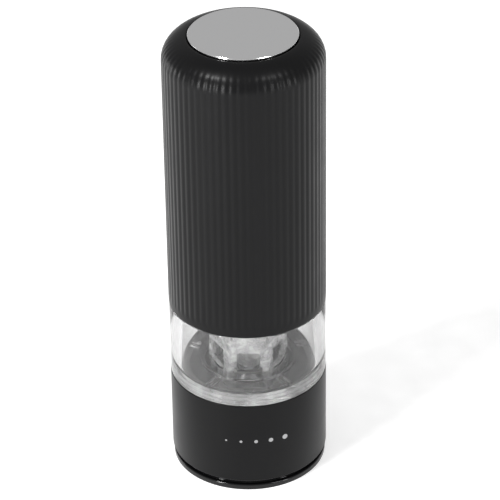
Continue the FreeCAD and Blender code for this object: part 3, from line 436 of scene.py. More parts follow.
@dataclass(frozen=True)
class Metal:
    """Bare or plated metal.

    Attributes:
        name: Name of the material.
        colour: Base colour, linear.
        gloss: Middle roughness.
        brushing: Which way the marks run.
        grain: Marks per metre.
        depth: Mark height in metres.
        cloud: Patches of gloss per metre.
        swing: Change in roughness either way, as a share.
        mottle: Change in colour either way, as a share.
    """

    name: str
    colour: tuple
    gloss: float = 0.3
    brushing: Brushing = Brushing.BLASTED
    grain: float = 3500.0
    depth: float = 1.5e-6
    cloud: float = 60.0
    swing: float = 0.15
    mottle: float = 0.06

    def material(self) -> Material:
        """Make the material."""
        bench = Bench(self.name)
        bench.set(Metallic=1.0)
        marks = bench.noise(self.grain, 3.0, self.brushing.value)
        cloud = bench.noise(self.cloud, 2.0)
        bench.roughness(cloud, self.gloss * (1.0 - self.swing), self.gloss * (1.0 + self.swing))
        dark, light = shade(self.colour, 1.0 - self.mottle), shade(self.colour, 1.0 + self.mottle)
        bench.colour(bench.blend(marks, dark, light))
        bench.bump(marks, self.depth)
        return bench.material


@dataclass(frozen=True)
class Clear:
    """Clear moulded plastic, with slow flow ripples in its skin.

    Attributes:
        name: Name of the material.
        tint: Colour of the light that goes through.
        gloss: Middle roughness.
        bend: Index of refraction.
        ripple: Ripples per metre.
        depth: Ripple height in metres.
        haze: Most light that scuffs in the skin scatter instead of letting through.
        grey_floor: Share scattered evenly below floor_level, for a frosted floor.
        veil: Share scattered evenly above that level.
        floor_level: Level of that floor's top, in metres.
        strip: Half width in metres of a strip without scuffs at the front and the back, or 0.
        strip_top: Level where that strip ends.
        edge: Share of the tint that is left where the wall is seen edge-on.
        swing: Least and most roughness, as shares of the gloss.
        scuff_grain: Scuffs to one ripple.
    """

    name: str
    tint: tuple
    gloss: float = 0.03
    bend: float = 1.49
    ripple: float = 160.0
    depth: float = 2e-5
    haze: float = 0.0
    grey_floor: float = 0.0
    veil: float = 0.0
    floor_level: float = 0.0391
    strip: float = 0.0
    strip_top: float = 0.0415
    edge: float = 1.0
    swing: tuple = (0.5, 1.6)
    scuff_grain: float = 1.7

    def material(self) -> Material:
        """Make the material."""
        bench = Bench(self.name)
        bench.set(Transmission_Weight=1.0, IOR=self.bend, Base_Color=(*self.tint, 1.0))
        waves = bench.noise(self.ripple, 2.0, (1.0, 1.0, 0.45))
        if self.edge < 1.0:
            facing = bench.nodes.new("ShaderNodeLayerWeight").outputs["Facing"]
            bench.colour(bench.blend(facing, self.tint, shade(self.tint, self.edge)))
        through = bench.shader.inputs["Transmission Weight"]
        if self.grey_floor:
            floor, wall = 1.0 - self.grey_floor, 1.0 - self.veil
            start, end = self.floor_level, self.floor_level + 4e-4
            bench.links.new(bench.ramp(bench.axis("Z"), start, end, floor, wall), through)
        if self.haze:
            grain = bench.noise(self.ripple * self.scuff_grain, 5.0)
            scuffs = bench.spread(grain, 1.0 - self.haze, 1.0)
            if self.strip:
                aside = bench.math("ABSOLUTE", bench.axis("X"))
                bare = bench.ramp(aside, self.strip, self.strip * 1.15, 1.0, 0.0)
                below = bench.ramp(bench.axis("Z"), self.strip_top, self.strip_top + 1e-3, 1.0, 0.0)
                scuffs = bench.math("MAXIMUM", scuffs, bench.math("MULTIPLY", bare, below))
            bench.links.new(scuffs, through)
        bench.roughness(waves, self.gloss * self.swing[0], self.gloss * self.swing[1])
        bench.bump(waves, self.depth)
        return bench.material


@dataclass(frozen=True)
class Board:
    """Lacquered circuit board: green with paler tracks under the lacquer."""

    name: str
    colour: tuple = (0.015, 0.11, 0.05)
    tracks: tuple = (0.05, 0.22, 0.09)

    def material(self) -> Material:
        """Make the material; the tracks are the lines of a brick pattern 1.5 mm apart."""
        bench = Bench(self.name)
        bricks = bench.nodes.new("ShaderNodeTexBrick")
        for key, value in (("Scale", 320.0), ("Mortar Size", 0.09), ("Row Height", 0.5)):
            bricks.inputs[key].default_value = value
        bench.links.new(bench.place, bricks.inputs["Vector"])
        bench.colour(bench.blend(bricks.outputs["Fac"], self.colour, self.tracks))
        below = bench.bump(bench.noise(900.0), 3e-6)
        bench.bump(bricks.outputs["Fac"], 1.5e-5, below)
        bench.roughness(bench.noise(200.0), 0.22, 0.34)
        return bench.material


@dataclass(frozen=True)
class Wrap:
    """Printed film round a dry cell: dark body with a coloured band and no words."""

    name: str
    body: tuple = (0.02, 0.022, 0.03)
    band: tuple = (0.55, 0.2, 0.05)
    band_level: float = 0.133

    def material(self) -> Material:
        """Make the material; the band covers everything above its level."""
        bench = Bench(self.name)
        above = bench.ramp(bench.axis("Z"), self.band_level, self.band_level + 2e-4, 0.0, 1.0)
        bench.colour(bench.blend(above, self.body, self.band))
        bench.roughness(bench.noise(150.0), 0.2, 0.32)
        bench.bump(bench.noise(500.0), 8e-6)
        return bench.material


# One finish for each material slot of the record, and some for single pieces.
FINISHES = {
    "sleeve_black": Moulded(
        "satin_black_handle", (0.0045, 0.0045, 0.0048), 0.33, 0.03, level=0.135
    ),
    "base_black": Moulded("satin_black_base", (0.0045, 0.0045, 0.0048), 0.31, 0.03, level=0.12),
    "foot_black": Moulded(
        "gloss_black_foot", (0.004, 0.004, 0.0043), 0.1, 0.02, 900.0, 1e-6, level=0.3
    ),
    "clear_jar": Clear(
        "clear_jar_acrylic", (0.96, 0.96, 0.96), bend=1.17, grey_floor=0.13, veil=0.035, edge=0.48
    ),
    # Pale frosted layer for the jar's foot: a painted reflection in place of the bright internal
    # reflection there.
    "painted_reflection_frost": Clear("frosted_painted_reflection", (0.93, 0.93, 0.93), 0.06, 1.45, 70.0, 4e-5, 0.6),
    "rib_clear": Clear("clear_floor_rib", (0.97, 0.97, 0.97), 0.03, 1.45),
    "clear_guard": Clear(
        "clear_guard_acrylic", (0.98, 0.98, 0.98), 0.04, 1.3, 230.0, 3e-4, 0.66, strip=0.0046
    ),
    "tube_frost": Clear(
        "frosted_tube_acrylic", (0.98, 0.98, 0.98), 0.06, 1.45, 150.0, 2e-5, haze=0.9
    ),
    "spring_bright": Metal(
        "bright_spring_steel", (0.97, 0.97, 0.97), 0.26, Brushing.BLASTED, 1500.0, 8e-7
    ),
    "pale_plate": Moulded("pale_reflector", (0.78, 0.78, 0.77), 0.4, 0.06, 1400.0, 6e-6),
    "guard_foot": Clear("clear_guard_foot", (0.97, 0.97, 0.97), 0.04, 1.17),
    "seal_rubber": Moulded(
        "seal_rubber", (0.018, 0.018, 0.018), 0.62, 0.08, 1800.0, 8e-6, sheen=0.1
    ),
    "white_nylon": Moulded("natural_nylon", (0.74, 0.73, 0.69), 0.38, 0.06, milk=0.35),
    # The slot has its name from the record; the housing is given a middle grey instead of
    # black, as painted light that brightens the inside of the jar.
    "housing_black": Moulded("housing_grey_painted_light", (0.17, 0.17, 0.173), 0.36, 0.07, 1400.0, 1e-5),
    "ceramic": Moulded("fired_ceramic", (0.8, 0.78, 0.73), 0.42, 0.08, 1900.0, 9e-6, milk=0.1),
    "zinc_steel": Metal("zinc_plate", (0.6, 0.61, 0.64), 0.34, Brushing.BLASTED),
    "polished_steel": Metal(
        "polished_steel", (0.72, 0.73, 0.75), 0.14, Brushing.ROUND, 1500.0, 8e-7
    ),
    "inner_grey": Moulded("moulded_dark_grey", (0.05, 0.05, 0.053), 0.5, 0.07, 1400.0, 1e-5),
    "lamp_clear": Clear("lamp_epoxy", (0.97, 0.97, 0.93), 0.04, 1.53),
    "board_green": Board("green_board"),
    "motor_steel": Metal("drawn_steel", (0.56, 0.57, 0.59), 0.3, Brushing.ALONG, 2200.0),
    "brass": Metal("cut_brass", (0.78, 0.56, 0.25), 0.24, Brushing.ALONG, 2600.0),
    "spring_nickel": Metal("nickel_plate", (0.66, 0.65, 0.62), 0.2, Brushing.BLASTED, 1800.0),
    "silicone": Moulded("grey_silicone", (0.2, 0.21, 0.23), 0.5, 0.06, 1500.0, 5e-6, milk=0.3),
    "cell_wrap": Wrap("cell_film"),
    "button_steel": Metal(
        "satin_button", (0.86, 0.86, 0.865), 0.12, Brushing.BLASTED, 5200.0, 2e-7
    ),
    "mark_silver": Metal("silver_mark", (0.34, 0.34, 0.345), 0.38, Brushing.BLASTED, 5200.0, 1e-6),
}


@dataclass
class PaintShop:
    """Makes each finish once and puts it on pieces and nodes."""

    made: dict = field(default_factory=dict)

    def finish(self, name: str) -> Material:
        """The material of that finish, made at its first use."""
        if name not in self.made:
            self.made[name] = FINISHES[name].material()
        return self.made[name]

    def dress(self, piece: Piece, name: str) -> None:
        """Give a whole piece one finish."""
        piece.data.materials.clear()
        piece.data.materials.append(self.finish(name))


@dataclass
class Assembly:
    """What every sub-assembly shares: the paint shop and the body that it rides on."""

    shop: PaintShop

    def mount(
        self, piece: Piece, body: str, slot: str, nodes: tuple = (), finish: str = ""
    ) -> None:
        """Finish a piece and hand it to the frame.

        Args:
            piece: The object, at the origin.
            body: Body that carries it.
            slot: Material slot it takes its finish from.
            nodes: Nodes it stands for.
            finish: Finish to use where it isn't the slot's own.
        """
        self.shop.dress(piece, finish or slot)
        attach(piece, body)
        if nodes:
            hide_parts(*nodes)
        log.info("%s: %d faces on %s", piece.name, len(piece.data.polygons), body)


# ---- handle
@dataclass
class Handle(Assembly):
    """The fluted sleeve and the bosses inside it."""

    radius: float = 27.0
    bore: float = 25.0
    low: float = 63.1
    shoulder: float = 155.0
    side_arc: float = 7.585
    top_arc: float = 11.49
    split: float = math.radians(50.0)
    top: float = 163.5
    hole: float = 18.55
    lip_under: float = 161.1
    cavity_low: float = 154.1
    cavity_top: float = 19.9
    flutes: int = 68
    flute_depth: float = 0.16
    flute_start: float = 1.6
    flute_rise: float = 3.0
    flute_past: float = 0.6
    flute_shape: float = 1.6
    wall_from: float = 12.0
    wall_stop: float = 0.4
    fade_start: float = 2.0
    fade_length: float = 8.0
    samples: int = 12
    foot_round: float = 0.35
    foot_edge: float = 0.1
    bore_round: float = 0.3
    lip_round: float = 0.25
    lip_steps: tuple = ((0.07, 0.1), (0.0, 0.3))
    boss_bore: float = 1.26
    boss_ring: float = 22.3
    boss_radius: float = 2.4
    boss_low: float = 73.5
    boss_high: float = 82.5
    boss_end: float = 1.0
    boss_angle: float = math.radians(110.0)

    def shell_path(self) -> tuple[np.ndarray, np.ndarray]:
        """Outline of the sleeve from the lower edge up its outside and down its inside.

        The outside is a straight wall and two tangent arcs: about (R - s, h) with radius s up
        to the split angle, then about a centre further in with the larger radius to the hole.

        Returns:
            Points (radius, height), and the share of the flutes' depth at each of them.
        """
        wall = np.concatenate([
            self.low + self.foot_round
            + np.linspace(0.0, self.flute_start + self.flute_rise + self.flute_past, 16),
            np.linspace(self.low + self.wall_from, self.shoulder - self.wall_stop, 8),
        ])
        straight = np.stack([np.full_like(wall, self.radius), wall], axis=1)
        inner = self.radius - self.side_arc
        turn = np.linspace(0.0, self.split, 16)[:, None]
        side = np.hstack([
            inner + self.side_arc * np.cos(turn), self.shoulder + self.side_arc * np.sin(turn),
        ])
        centre = np.array([
            inner + (self.side_arc - self.top_arc) * math.cos(self.split),
            self.shoulder + (self.side_arc - self.top_arc) * math.sin(self.split),
        ])
        end = math.acos((self.hole + self.lip_round - centre[0]) / self.top_arc)
        turn = np.linspace(self.split, end, 14)[1:, None]
        crown = centre + self.top_arc * np.hstack([np.cos(turn), np.sin(turn)])
        edge = np.array([
            *((self.hole + out, crown[-1, 1] - down) for out, down in self.lip_steps),
            (self.hole, self.lip_under), (self.cavity_top, self.lip_under),
            (self.bore, self.cavity_low), (self.bore, self.low + self.bore_round),
            (self.bore + self.bore_round, self.low), (self.radius - self.foot_round, self.low),
            (self.radius - self.foot_edge, self.low + self.foot_edge),
        ])
        path = np.vstack([straight, side, crown, edge])
        arc = np.concatenate([[0.0], np.cumsum(np.linalg.norm(np.diff(path, axis=0), axis=1))])
        rise = smooth_step((path[:, 1] - self.low - self.flute_start) / self.flute_rise)
        bend = arc[len(straight)]
        fade = 1.0 - smooth_step((arc - bend - self.fade_start) / self.fade_length)
        share = rise * fade
        share[len(straight) + len(side) + len(crown):] = 0.0
        return path, share

    def build(self) -> None:
        """Make the sleeve and its screw bosses.

        The radius is r(s) - depth * share(s) * (1 - |sin(n a / 2)|^1.6), so the crests stay
        on the outline and the hollows between them are wide and smooth.
        """
        path, share = self.shell_path()
        grid = turned_grid(path, self.flutes * self.samples)
        angle = np.arange(grid.shape[1]) / grid.shape[1] * TURN
        hollow = 1.0 - np.abs(np.sin(self.flutes * angle / 2.0)) ** self.flute_shape
        sink = self.flute_depth * share[:, None] * hollow[None, :]
        radius = path[:, :1]
        grid[..., :2] *= ((radius - sink) / radius)[..., None]
        sleeve = GridPiece("sleeve_skin", grid, crease=42.0).build()
        self.mount(sleeve, "handle", "sleeve_black", ("sleeve",))
        bosses = joined("sleeve_bosses", [self.boss(number) for number in range(3)])
        self.mount(bosses, "handle", "sleeve_black")

    def boss(self, number: int) -> Piece:
        """One screw boss: a tube of outline (radius, height) moved out to the boss ring."""
        bore_end = self.boss_high - self.boss_end
        outline = soft_outline([
            Corner(self.boss_bore, self.boss_low), Corner(self.boss_radius, self.boss_low, 0.2),
            Corner(self.boss_radius, self.boss_high, 0.3), Corner(0.0, self.boss_high),
            Corner(0.0, bore_end), Corner(self.boss_bore, bore_end),
        ])
        grid = turned_grid(outline, 32)
        angle = self.boss_angle + number * TURN / 3
        grid[..., 0] += self.boss_ring * math.cos(angle)
        grid[..., 1] += self.boss_ring * math.sin(angle)
        return GridPiece(f"sleeve_boss_{number}", grid).build()


@dataclass
class PushButton(Assembly):
    """The metal button let into the shoulder, with a bright bevel round its face."""

    radius: float = 18.2
    low: float = 161.0
    top: float = 164.1
    bevel: float = 0.24
    skin: float = 1.0
    ceiling: float = 162.5
    dip: float = 0.02

    def build(self) -> None:
        """Turn the button's cup, open underneath; its face dips a little, as a pressed one does."""
        inside = self.radius - self.skin
        button = lathe("button_face", [
            Corner(0.0, self.top - self.dip), Corner(0.0, self.ceiling),
            Corner(inside, self.ceiling, 0.3),
            Corner(inside, self.low, 0.1), Corner(self.radius, self.low, 0.15),
            Corner(self.radius, self.top - self.bevel, 0.05),
            Corner(self.radius - self.bevel, self.top, 0.05),
        ], crease=25.0)
        self.mount(button, "button", "button_steel", ("button_cap",))


@dataclass
class PressParts(Assembly):
    """The spring under the button and the rubber dome over the switch, which give when pressed;
    both are made at rest.
    """

    spring_low: float = 152.3
    spring_height: float = 7.5
    spring_radius: float = 13.0
    wire: float = 0.5
    turns: int = 4
    wire_steps: int = 48
    wire_sides: int = 12
    dome_radius: float = 4.0
    dome_low: float = 153.5
    dome_rim: float = 0.8
    dome_top: float = 158.3
    press: float = 1.5
    spare: float = 0.03

    def build(self) -> None:
        """Wind the spring, mould the dome and give each a mesh of its own."""
        spring = self.coil()
        self.mount(spring, "handle", "spring_nickel", ("button_spring",))
        dome = lathe("switch_dome_skin", [
            Corner(0.0, self.dome_low), Corner(self.dome_radius, self.dome_low),
            Corner(self.dome_radius, self.dome_low + self.dome_rim, 0.2),
            Corner(self.dome_radius * 0.6, self.dome_top, 0.5), Corner(0.0, self.dome_top),
        ], columns=64)
        self.mount(dome, "handle", "silicone", ("switch_dome",))
        self.give(spring, self.spring_low, self.spring_height)
        self.give(dome, self.dome_low, self.dome_top - self.dome_low)

    def give(self, piece: Piece, low: float, height: float) -> None:
        """Give a piece a mesh of its own.

        Args:
            piece: The piece, its mesh final.
            low: Level of its foot, in mm; not used.
            height: Its height at rest; not used.
        """
        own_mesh(piece)

    def coil(self) -> Piece:
        """The helical spring.

        At u turns the wire's centre is at radius R and height c + p u; round it the section
        is w (cos v, sin v) outward and upward. The first and last rows shrink to a point.
        """
        u = np.linspace(0.0, self.turns, self.turns * self.wire_steps + 1)[:, None]
        v = (np.arange(self.wire_sides) / self.wire_sides * TURN)[None, :]
        size = np.full_like(u, self.wire)
        size[[0, -1]] = 0.0
        pitch = (self.spring_height - 2 * self.wire) / self.turns
        reach = self.spring_radius + size * np.cos(v)
        level = self.spring_low + self.wire + pitch * u + size * np.sin(v)
        grid = np.stack([reach * np.cos(TURN * u), reach * np.sin(TURN * u), level], axis=-1)
        return GridPiece("button_spring_wire", grid, rows_closed=False, crease=60.0).build()


# ---- lower unit
@dataclass
class Base(Assembly):
    """The smooth base shell, its row of dots and the glossy dust cap that it stands on."""

    radius: float = 27.0
    low: float = 3.9
    top: float = 35.2
    bore: float = 25.35
    ledge: float = 22.95
    ledge_low: float = 25.0
    ledge_high: float = 27.0
    cap_radius: float = 26.6
    cap_floor: float = 2.0
    cap_spigot: float = 25.2
    cap_bore: float = 23.4
    cap_top: float = 9.0
    dot_level: float = 20.6
    dot_radii: tuple = (0.35, 0.5, 0.65, 0.8, 0.95)
    dot_step: float = 5.2
    dot_shift: float = 2.2
    dot_sink: float = 0.0008
    dot_section: tuple = ((0.0, 0.0), (0.8, 0.0), (1.0, -0.5), (1.0, -4.0), (0.0, -4.0))
    mark_proud: float = 0.04

    def build(self) -> None:
        """Turn the shell and the cap and set the dots on the front."""
        skin = self.radius - self.mark_proud
        shell = lathe("base_skin", [
            Corner(self.bore, self.low, 0.2), Corner(skin, self.low, 0.35),
            Corner(skin, self.top, 0.3), Corner(self.bore, self.top, 0.2),
            Corner(self.bore, self.ledge_high), Corner(self.ledge, self.ledge_high, 0.2),
            Corner(self.ledge, self.ledge_low, 0.2), Corner(self.bore, self.ledge_low),
        ])
        self.mount(shell, "base", "base_black", ("base_shell",))
        cap = lathe("dust_cap_skin", [
            Corner(0.0, 0.0), Corner(self.cap_radius, 0.0, 0.25),
            Corner(self.cap_radius, self.cap_floor, 0.55),
            Corner(self.cap_spigot, self.cap_floor, 0.15),
            Corner(self.cap_spigot, self.cap_top, 0.3), Corner(self.cap_bore, self.cap_top, 0.3),
            Corner(self.cap_bore, self.cap_floor, 0.8), Corner(0.0, self.cap_floor),
        ])
        self.mount(cap, "cap", "foot_black", ("dust_cap",))
        middle = (len(self.dot_radii) - 1) / 2.0
        dots = [
            self.dot(self.dot_shift + (n - middle) * self.dot_step, size)
            for n, size in enumerate(self.dot_radii)
        ]
        self.mount(joined("coarseness_dots", dots), "base", "base_black", finish="mark_silver")

    def dot(self, across: float, size: float) -> Piece:
        """A thin round dot laid on the shell.

        A disc of rings (q, height) is laid over the front: the point q round angle b goes to
        arc length across + q cos b and level + q sin b, wrapped on the shell's radius. The
        section gives q in radii of the dot and height in steps of how proud the dot stands.

        Args:
            across: Arc length from the front's middle, in mm, to the right.
            size: Radius of the dot.

        Returns:
            The dot.
        """
        rings = np.array(self.dot_section)
        around = (np.arange(40) / 40 * TURN)[None, :]
        q = rings[:, :1] * size
        reach = self.radius - self.dot_sink + rings[:, 1:] * self.mark_proud
        bearing = (across + q * np.cos(around)) / self.radius
        level = self.dot_level + q * np.sin(around)
        grid = np.stack([reach * np.sin(bearing), -reach * np.cos(bearing), level], axis=-1)
        return GridPiece("dot", grid, rows_closed=False).build()


@dataclass
class Jar(Assembly):
    """The clear jar with its floor, the ribs on the floor and a painted reflection in its wall's
    foot.
    """

    outer: float = 26.9
    bore: float = 23.2
    spigot: float = 25.25
    spigot_low: float = 29.0
    shell_top: float = 35.2
    floor_low: float = 36.9
    floor: float = 38.7
    floor_hole: float = 15.2
    seat: float = 63.0
    neck: float = 24.7
    top: float = 71.0
    groove: float = 23.85
    seal_level: float = 67.0
    seal_half: float = 0.6
    notch_half: float = 1.2
    notch_deep: float = 1.5
    notch_low: float = 38.0
    notch_top: float = 39.7
    notch_soft: float = 0.3
    notch_fade: float = 0.4
    notch_clear: float = 0.8
    # Sizes of the frosted stair in the wall's foot, which is a painted reflection.
    reflection_stair_gap: float = 0.12
    reflection_stair_inset: float = 0.2
    reflection_stair_wall: Corner = Corner(3.2, 38.5, 0.1)
    reflection_stair_steps: tuple = (
        Corner(0.3, 0.0), Corner(0.3, 0.25), Corner(1.3, 0.25, 0.2), Corner(1.5, 1.0, 0.3),
        Corner(2.3, 1.1, 0.2), Corner(2.5, 2.1, 0.4), Corner(3.1, 2.2, 0.2),
    )
    rib_from: float = 17.6
    rib_to: float = 22.9
    rib_half: float = 0.42
    rib_high: float = 0.8
    rib_sink: float = 0.3
    rib_gap: float = 2.0
    rib_pairs: int = 5

    def build(self) -> None:
        """Turn the jar, set a painted reflection in the foot of its wall and lay the ribs on its
        floor.

        That painted reflection is a pale frosted stair inside the wall. It takes the place of the
        bright internal reflection at the wall's foot. Its steps are given as distance in from the
        jar's outside and height over the stair's foot. Its last corner, reflection_stair_wall, is
        given as distance in and level above the ground.
        """
        seal_low, seal_high = self.seal_level - self.seal_half, self.seal_level + self.seal_half
        outline = soft_outline([
            Corner(self.bore, self.spigot_low, 0.2), Corner(self.spigot, self.spigot_low, 0.3),
            Corner(self.spigot, self.shell_top, 0.1), Corner(self.outer, self.shell_top, 0.5),
            Corner(self.outer, self.seat, 0.3), Corner(self.neck, self.seat, 0.2),
            Corner(self.neck, seal_low), Corner(self.groove, seal_low, 0.1),
            Corner(self.groove, seal_high, 0.1), Corner(self.neck, seal_high),
            Corner(self.neck, self.top, 0.3), Corner(self.bore, self.top, 0.3),
            Corner(self.bore, self.notch_top + self.notch_clear),
            Corner(self.bore, self.floor, 1.6),
            Corner(self.floor_hole, self.floor, 0.3),
            Corner(self.floor_hole, self.floor_low, 0.2), Corner(self.bore, self.floor_low, 0.8),
        ])
        grid = self.notched(turned_grid(outline, 288))
        self.mount(GridPiece("clear_jar", grid).build(), "base", "clear_jar", ("jar",))
        # The frosted stair is a painted reflection: its pale scatter stands for the bright internal
        # reflection at the wall's foot.
        face, inside = self.shell_top + self.reflection_stair_gap, self.bore + self.reflection_stair_inset
        wall = self.reflection_stair_wall
        painted_reflection_stair = lathe("jar_foot_painted_reflection", [
            Corner(inside, face),
            *(Corner(self.outer - c.radius, face + c.height, c.soft) for c in self.reflection_stair_steps),
            Corner(self.outer - wall.radius, wall.height, wall.soft), Corner(inside, wall.height),
        ])
        self.mount(painted_reflection_stair, "base", "clear_jar", finish="painted_reflection_frost")
        ribs = [
            self.rib(-TURN / 4 + (pair + 0.5) * TURN / self.rib_pairs, side * self.rib_gap / 2)
            for pair in range(self.rib_pairs) for side in (-1, 1)
        ]
        self.mount(joined("jar_floor_ribs", ribs), "base", "clear_jar", finish="rib_clear")

    def notched(self, grid: np.ndarray) -> np.ndarray:
        """Sink a small notch in the corner of floor and wall, at the front.

        Points of the corner move outward by d (1 - s(|x|)) (1 - s(z)), where s is a smooth step
        that ends at the notch's half width and at its top.

        Args:
            grid: Points of the jar, in mm.

        Returns:
            The same points with the notch.
        """
        x, y, z = grid[..., 0], grid[..., 1], grid[..., 2]
        radius = np.hypot(x, y)
        near_wall = (radius > self.bore - 1.0) & (radius < self.bore + 0.1)
        corner = near_wall & (y < 0) & (z > self.notch_low)
        aside = 1.0 - smooth_step((np.abs(x) - self.notch_half + self.notch_soft) / self.notch_soft)
        below = 1.0 - smooth_step((z - self.notch_top + self.notch_fade / 2) / self.notch_fade)
        reach = np.where(corner, self.notch_deep * aside * below, 0.0)
        grid[..., :2] *= ((radius + reach) / radius)[..., None]
        return grid

    def rib(self, bearing: float, aside: float) -> Piece:
        """One low rounded rib on the floor, pointing at the axis.

        Its cross-section is (w s cos b, h s sin b) with a flat underside; s = (1 - (2u-1)^8)^(1/2)
        closes both ends as u goes from 0 to 1 along the rib.

        Args:
            bearing: Direction of the rib from the axis.
            aside: How far the rib lies beside that direction, in mm.

        Returns:
            The rib.
        """
        u = np.linspace(0.0, 1.0, 13)[:, None]
        b = (np.arange(12) / 12 * TURN)[None, :]
        size = np.sqrt(1.0 - (2.0 * u - 1.0) ** 8)
        along = self.rib_from + (self.rib_to - self.rib_from) * u + 0.0 * b
        across = aside + self.rib_half * size * np.cos(b)
        height = self.floor + self.rib_high * size * np.maximum(np.sin(b), -self.rib_sink)
        x = along * math.cos(bearing) - across * math.sin(bearing)
        y = along * math.sin(bearing) + across * math.cos(bearing)
        return GridPiece("rib", np.stack([x, y, height], axis=-1), rows_closed=False).build()


@dataclass
class Guard(Assembly):
    """The clear six-sided guard over the shaft, with feed windows at its foot, and its tube."""

    corner: float = 14.0
    wall: float = 1.3
    low: float = 32.5
    top: float = 68.0
    flange: float = 16.8
    sill_low: float = 38.7
    sill: float = 40.0
    window_width: float = 8.0
    window_height: float = 7.0
    passage: float = 5.6
    tube_radius: float = 5.85
    tube_bore: float = 4.2
    tube_low: float = 37.4
    ceiling: float = 66.0
    bead_levels: tuple = (40.6, 45.4)
    bead_proud: float = 0.35
    bead_half: float = 0.5
    tube_flange: float = 9.3
    tube_flange_high: float = 1.6
    roof_radius: float = 11.0
    gap: float = 0.02
    taper: float = 0.012
    corner_cut: float = 0.985
    corner_power: float = 90.0
    columns: int = 360

    def from_flat(self, angle: np.ndarray) -> np.ndarray:
        """Angle from the middle of the nearest of the six flats; one flat faces the front."""
        return np.mod(angle + math.pi / 2 + math.pi / 6, math.pi / 3) - math.pi / 6

    def hexagon(self, angle: np.ndarray, corner: float) -> np.ndarray:
        """Radius of a six-sided section with soft corners and a flat to the front.

        A flat's radius is apothem / cos(angle from its middle). The corners are cut by a
        circle, both blended as (f^-p + c^-p)^(-1/p) with a high p.

        Args:
            angle: Bearings round the axis.
            corner: Distance from the axis to a sharp corner.

        Returns:
            The radius at each bearing.
        """
        flat = corner * math.cos(math.pi / 6) / np.cos(self.from_flat(angle))
        power = self.corner_power
        return (flat**-power + (self.corner_cut * corner) ** -power) ** (-1.0 / power)

    def build(self) -> None:
        """Make the column with its windows, the flange ring, the tube and the roof."""
        angle = np.arange(self.columns) / self.columns * TURN
        lintel = self.sill + self.window_height
        levels = np.concatenate([
            [self.low], [self.sill_low], np.linspace(self.sill, lintel, 8),
            np.linspace(lintel + 1.0, self.top, 12),
        ])
        radius = self.hexagon(angle, self.corner)[None, :]
        taper = (1.0 - self.taper * (levels - self.low) / (self.top - self.low))[:, None]
        grid = np.stack([
            radius * taper * np.cos(angle), radius * taper * np.sin(angle),
            levels[:, None] + 0.0 * radius,
        ], axis=-1)
        bearing = self.from_flat(angle + 0.5 * TURN / self.columns)
        half = math.atan(self.window_width / 2 / (self.corner * math.cos(math.pi / 6)))
        in_window = (levels[:-1] >= self.sill - 1e-6) & (levels[:-1] < lintel - 1e-6)
        holes = in_window[:, None] & (np.abs(bearing) < half)[None, :]
        column = GridPiece("shaft_guard_column", grid, rows_closed=False, holes=holes).build()
        thicken(column, self.wall)
        inside, seat = self.corner - self.wall, self.sill_low + self.gap
        ring = lathe("guard_flange", [
            Corner(inside, seat), Corner(self.flange, seat, 0.2),
            Corner(self.flange, self.sill, 0.5), Corner(inside, self.sill, 0.1),
        ], columns=180)
        self.mount(column, "base", "clear_guard", ("shaft_guard",))
        self.mount(ring, "base", "clear_guard", finish="guard_foot")
        tube = lathe("shaft_tube_skin", self.tube_outline(), columns=128)
        self.mount(tube, "base", "clear_guard", ("shaft_tube",), "tube_frost")
        roof = lathe("guard_roof", [
            Corner(self.passage, self.ceiling, 0.2), Corner(self.roof_radius, self.ceiling, 0.2),
            Corner(self.roof_radius, self.top, 0.3), Corner(self.passage, self.top, 0.3),
        ], columns=180)
        self.mount(roof, "base", "clear_guard")

    def tube_outline(self) -> list[Corner]:
        """Outline of the tube with two soft beads near its foot and a flange at its top."""
        corners = [
            Corner(self.tube_bore, self.tube_low, 0.2),
            Corner(self.tube_radius, self.tube_low, 0.3),
        ]
        for level in self.bead_levels:
            corners += [
                Corner(self.tube_radius, level - self.bead_half, 0.2),
                Corner(self.tube_radius + self.bead_proud, level, 0.4),
                Corner(self.tube_radius, level + self.bead_half, 0.2),
            ]
        under, top = self.ceiling - self.tube_flange_high, self.ceiling - self.gap
        return corners + [
            Corner(self.tube_radius, under, 0.4), Corner(self.tube_flange, under, 0.2),
            Corner(self.tube_flange, top, 0.2), Corner(self.tube_bore, top, 0.2),
        ]


def thicken(piece: Piece, wall: float) -> None:
    """Give an open surface a wall of even thickness, measured inward.

    Args:
        piece: The object; its faces point outward.
        wall: Thickness in mm.
    """
    solid = piece.modifiers.new("wall", "SOLIDIFY")
    solid.thickness = wall * MM
    solid.offset = -1.0
    solid.use_even_offset = True


# ---- studio
@dataclass(frozen=True)
class SoftBox:
    """A soft lamp: where it hangs round the mill, how large it is and how strong.

    Bearing and rise are in degrees, reach, width and height in metres and power in watts.
    """

    name: str
    bearing: float
    rise: float
    reach: float
    width: float
    height: float
    power: float


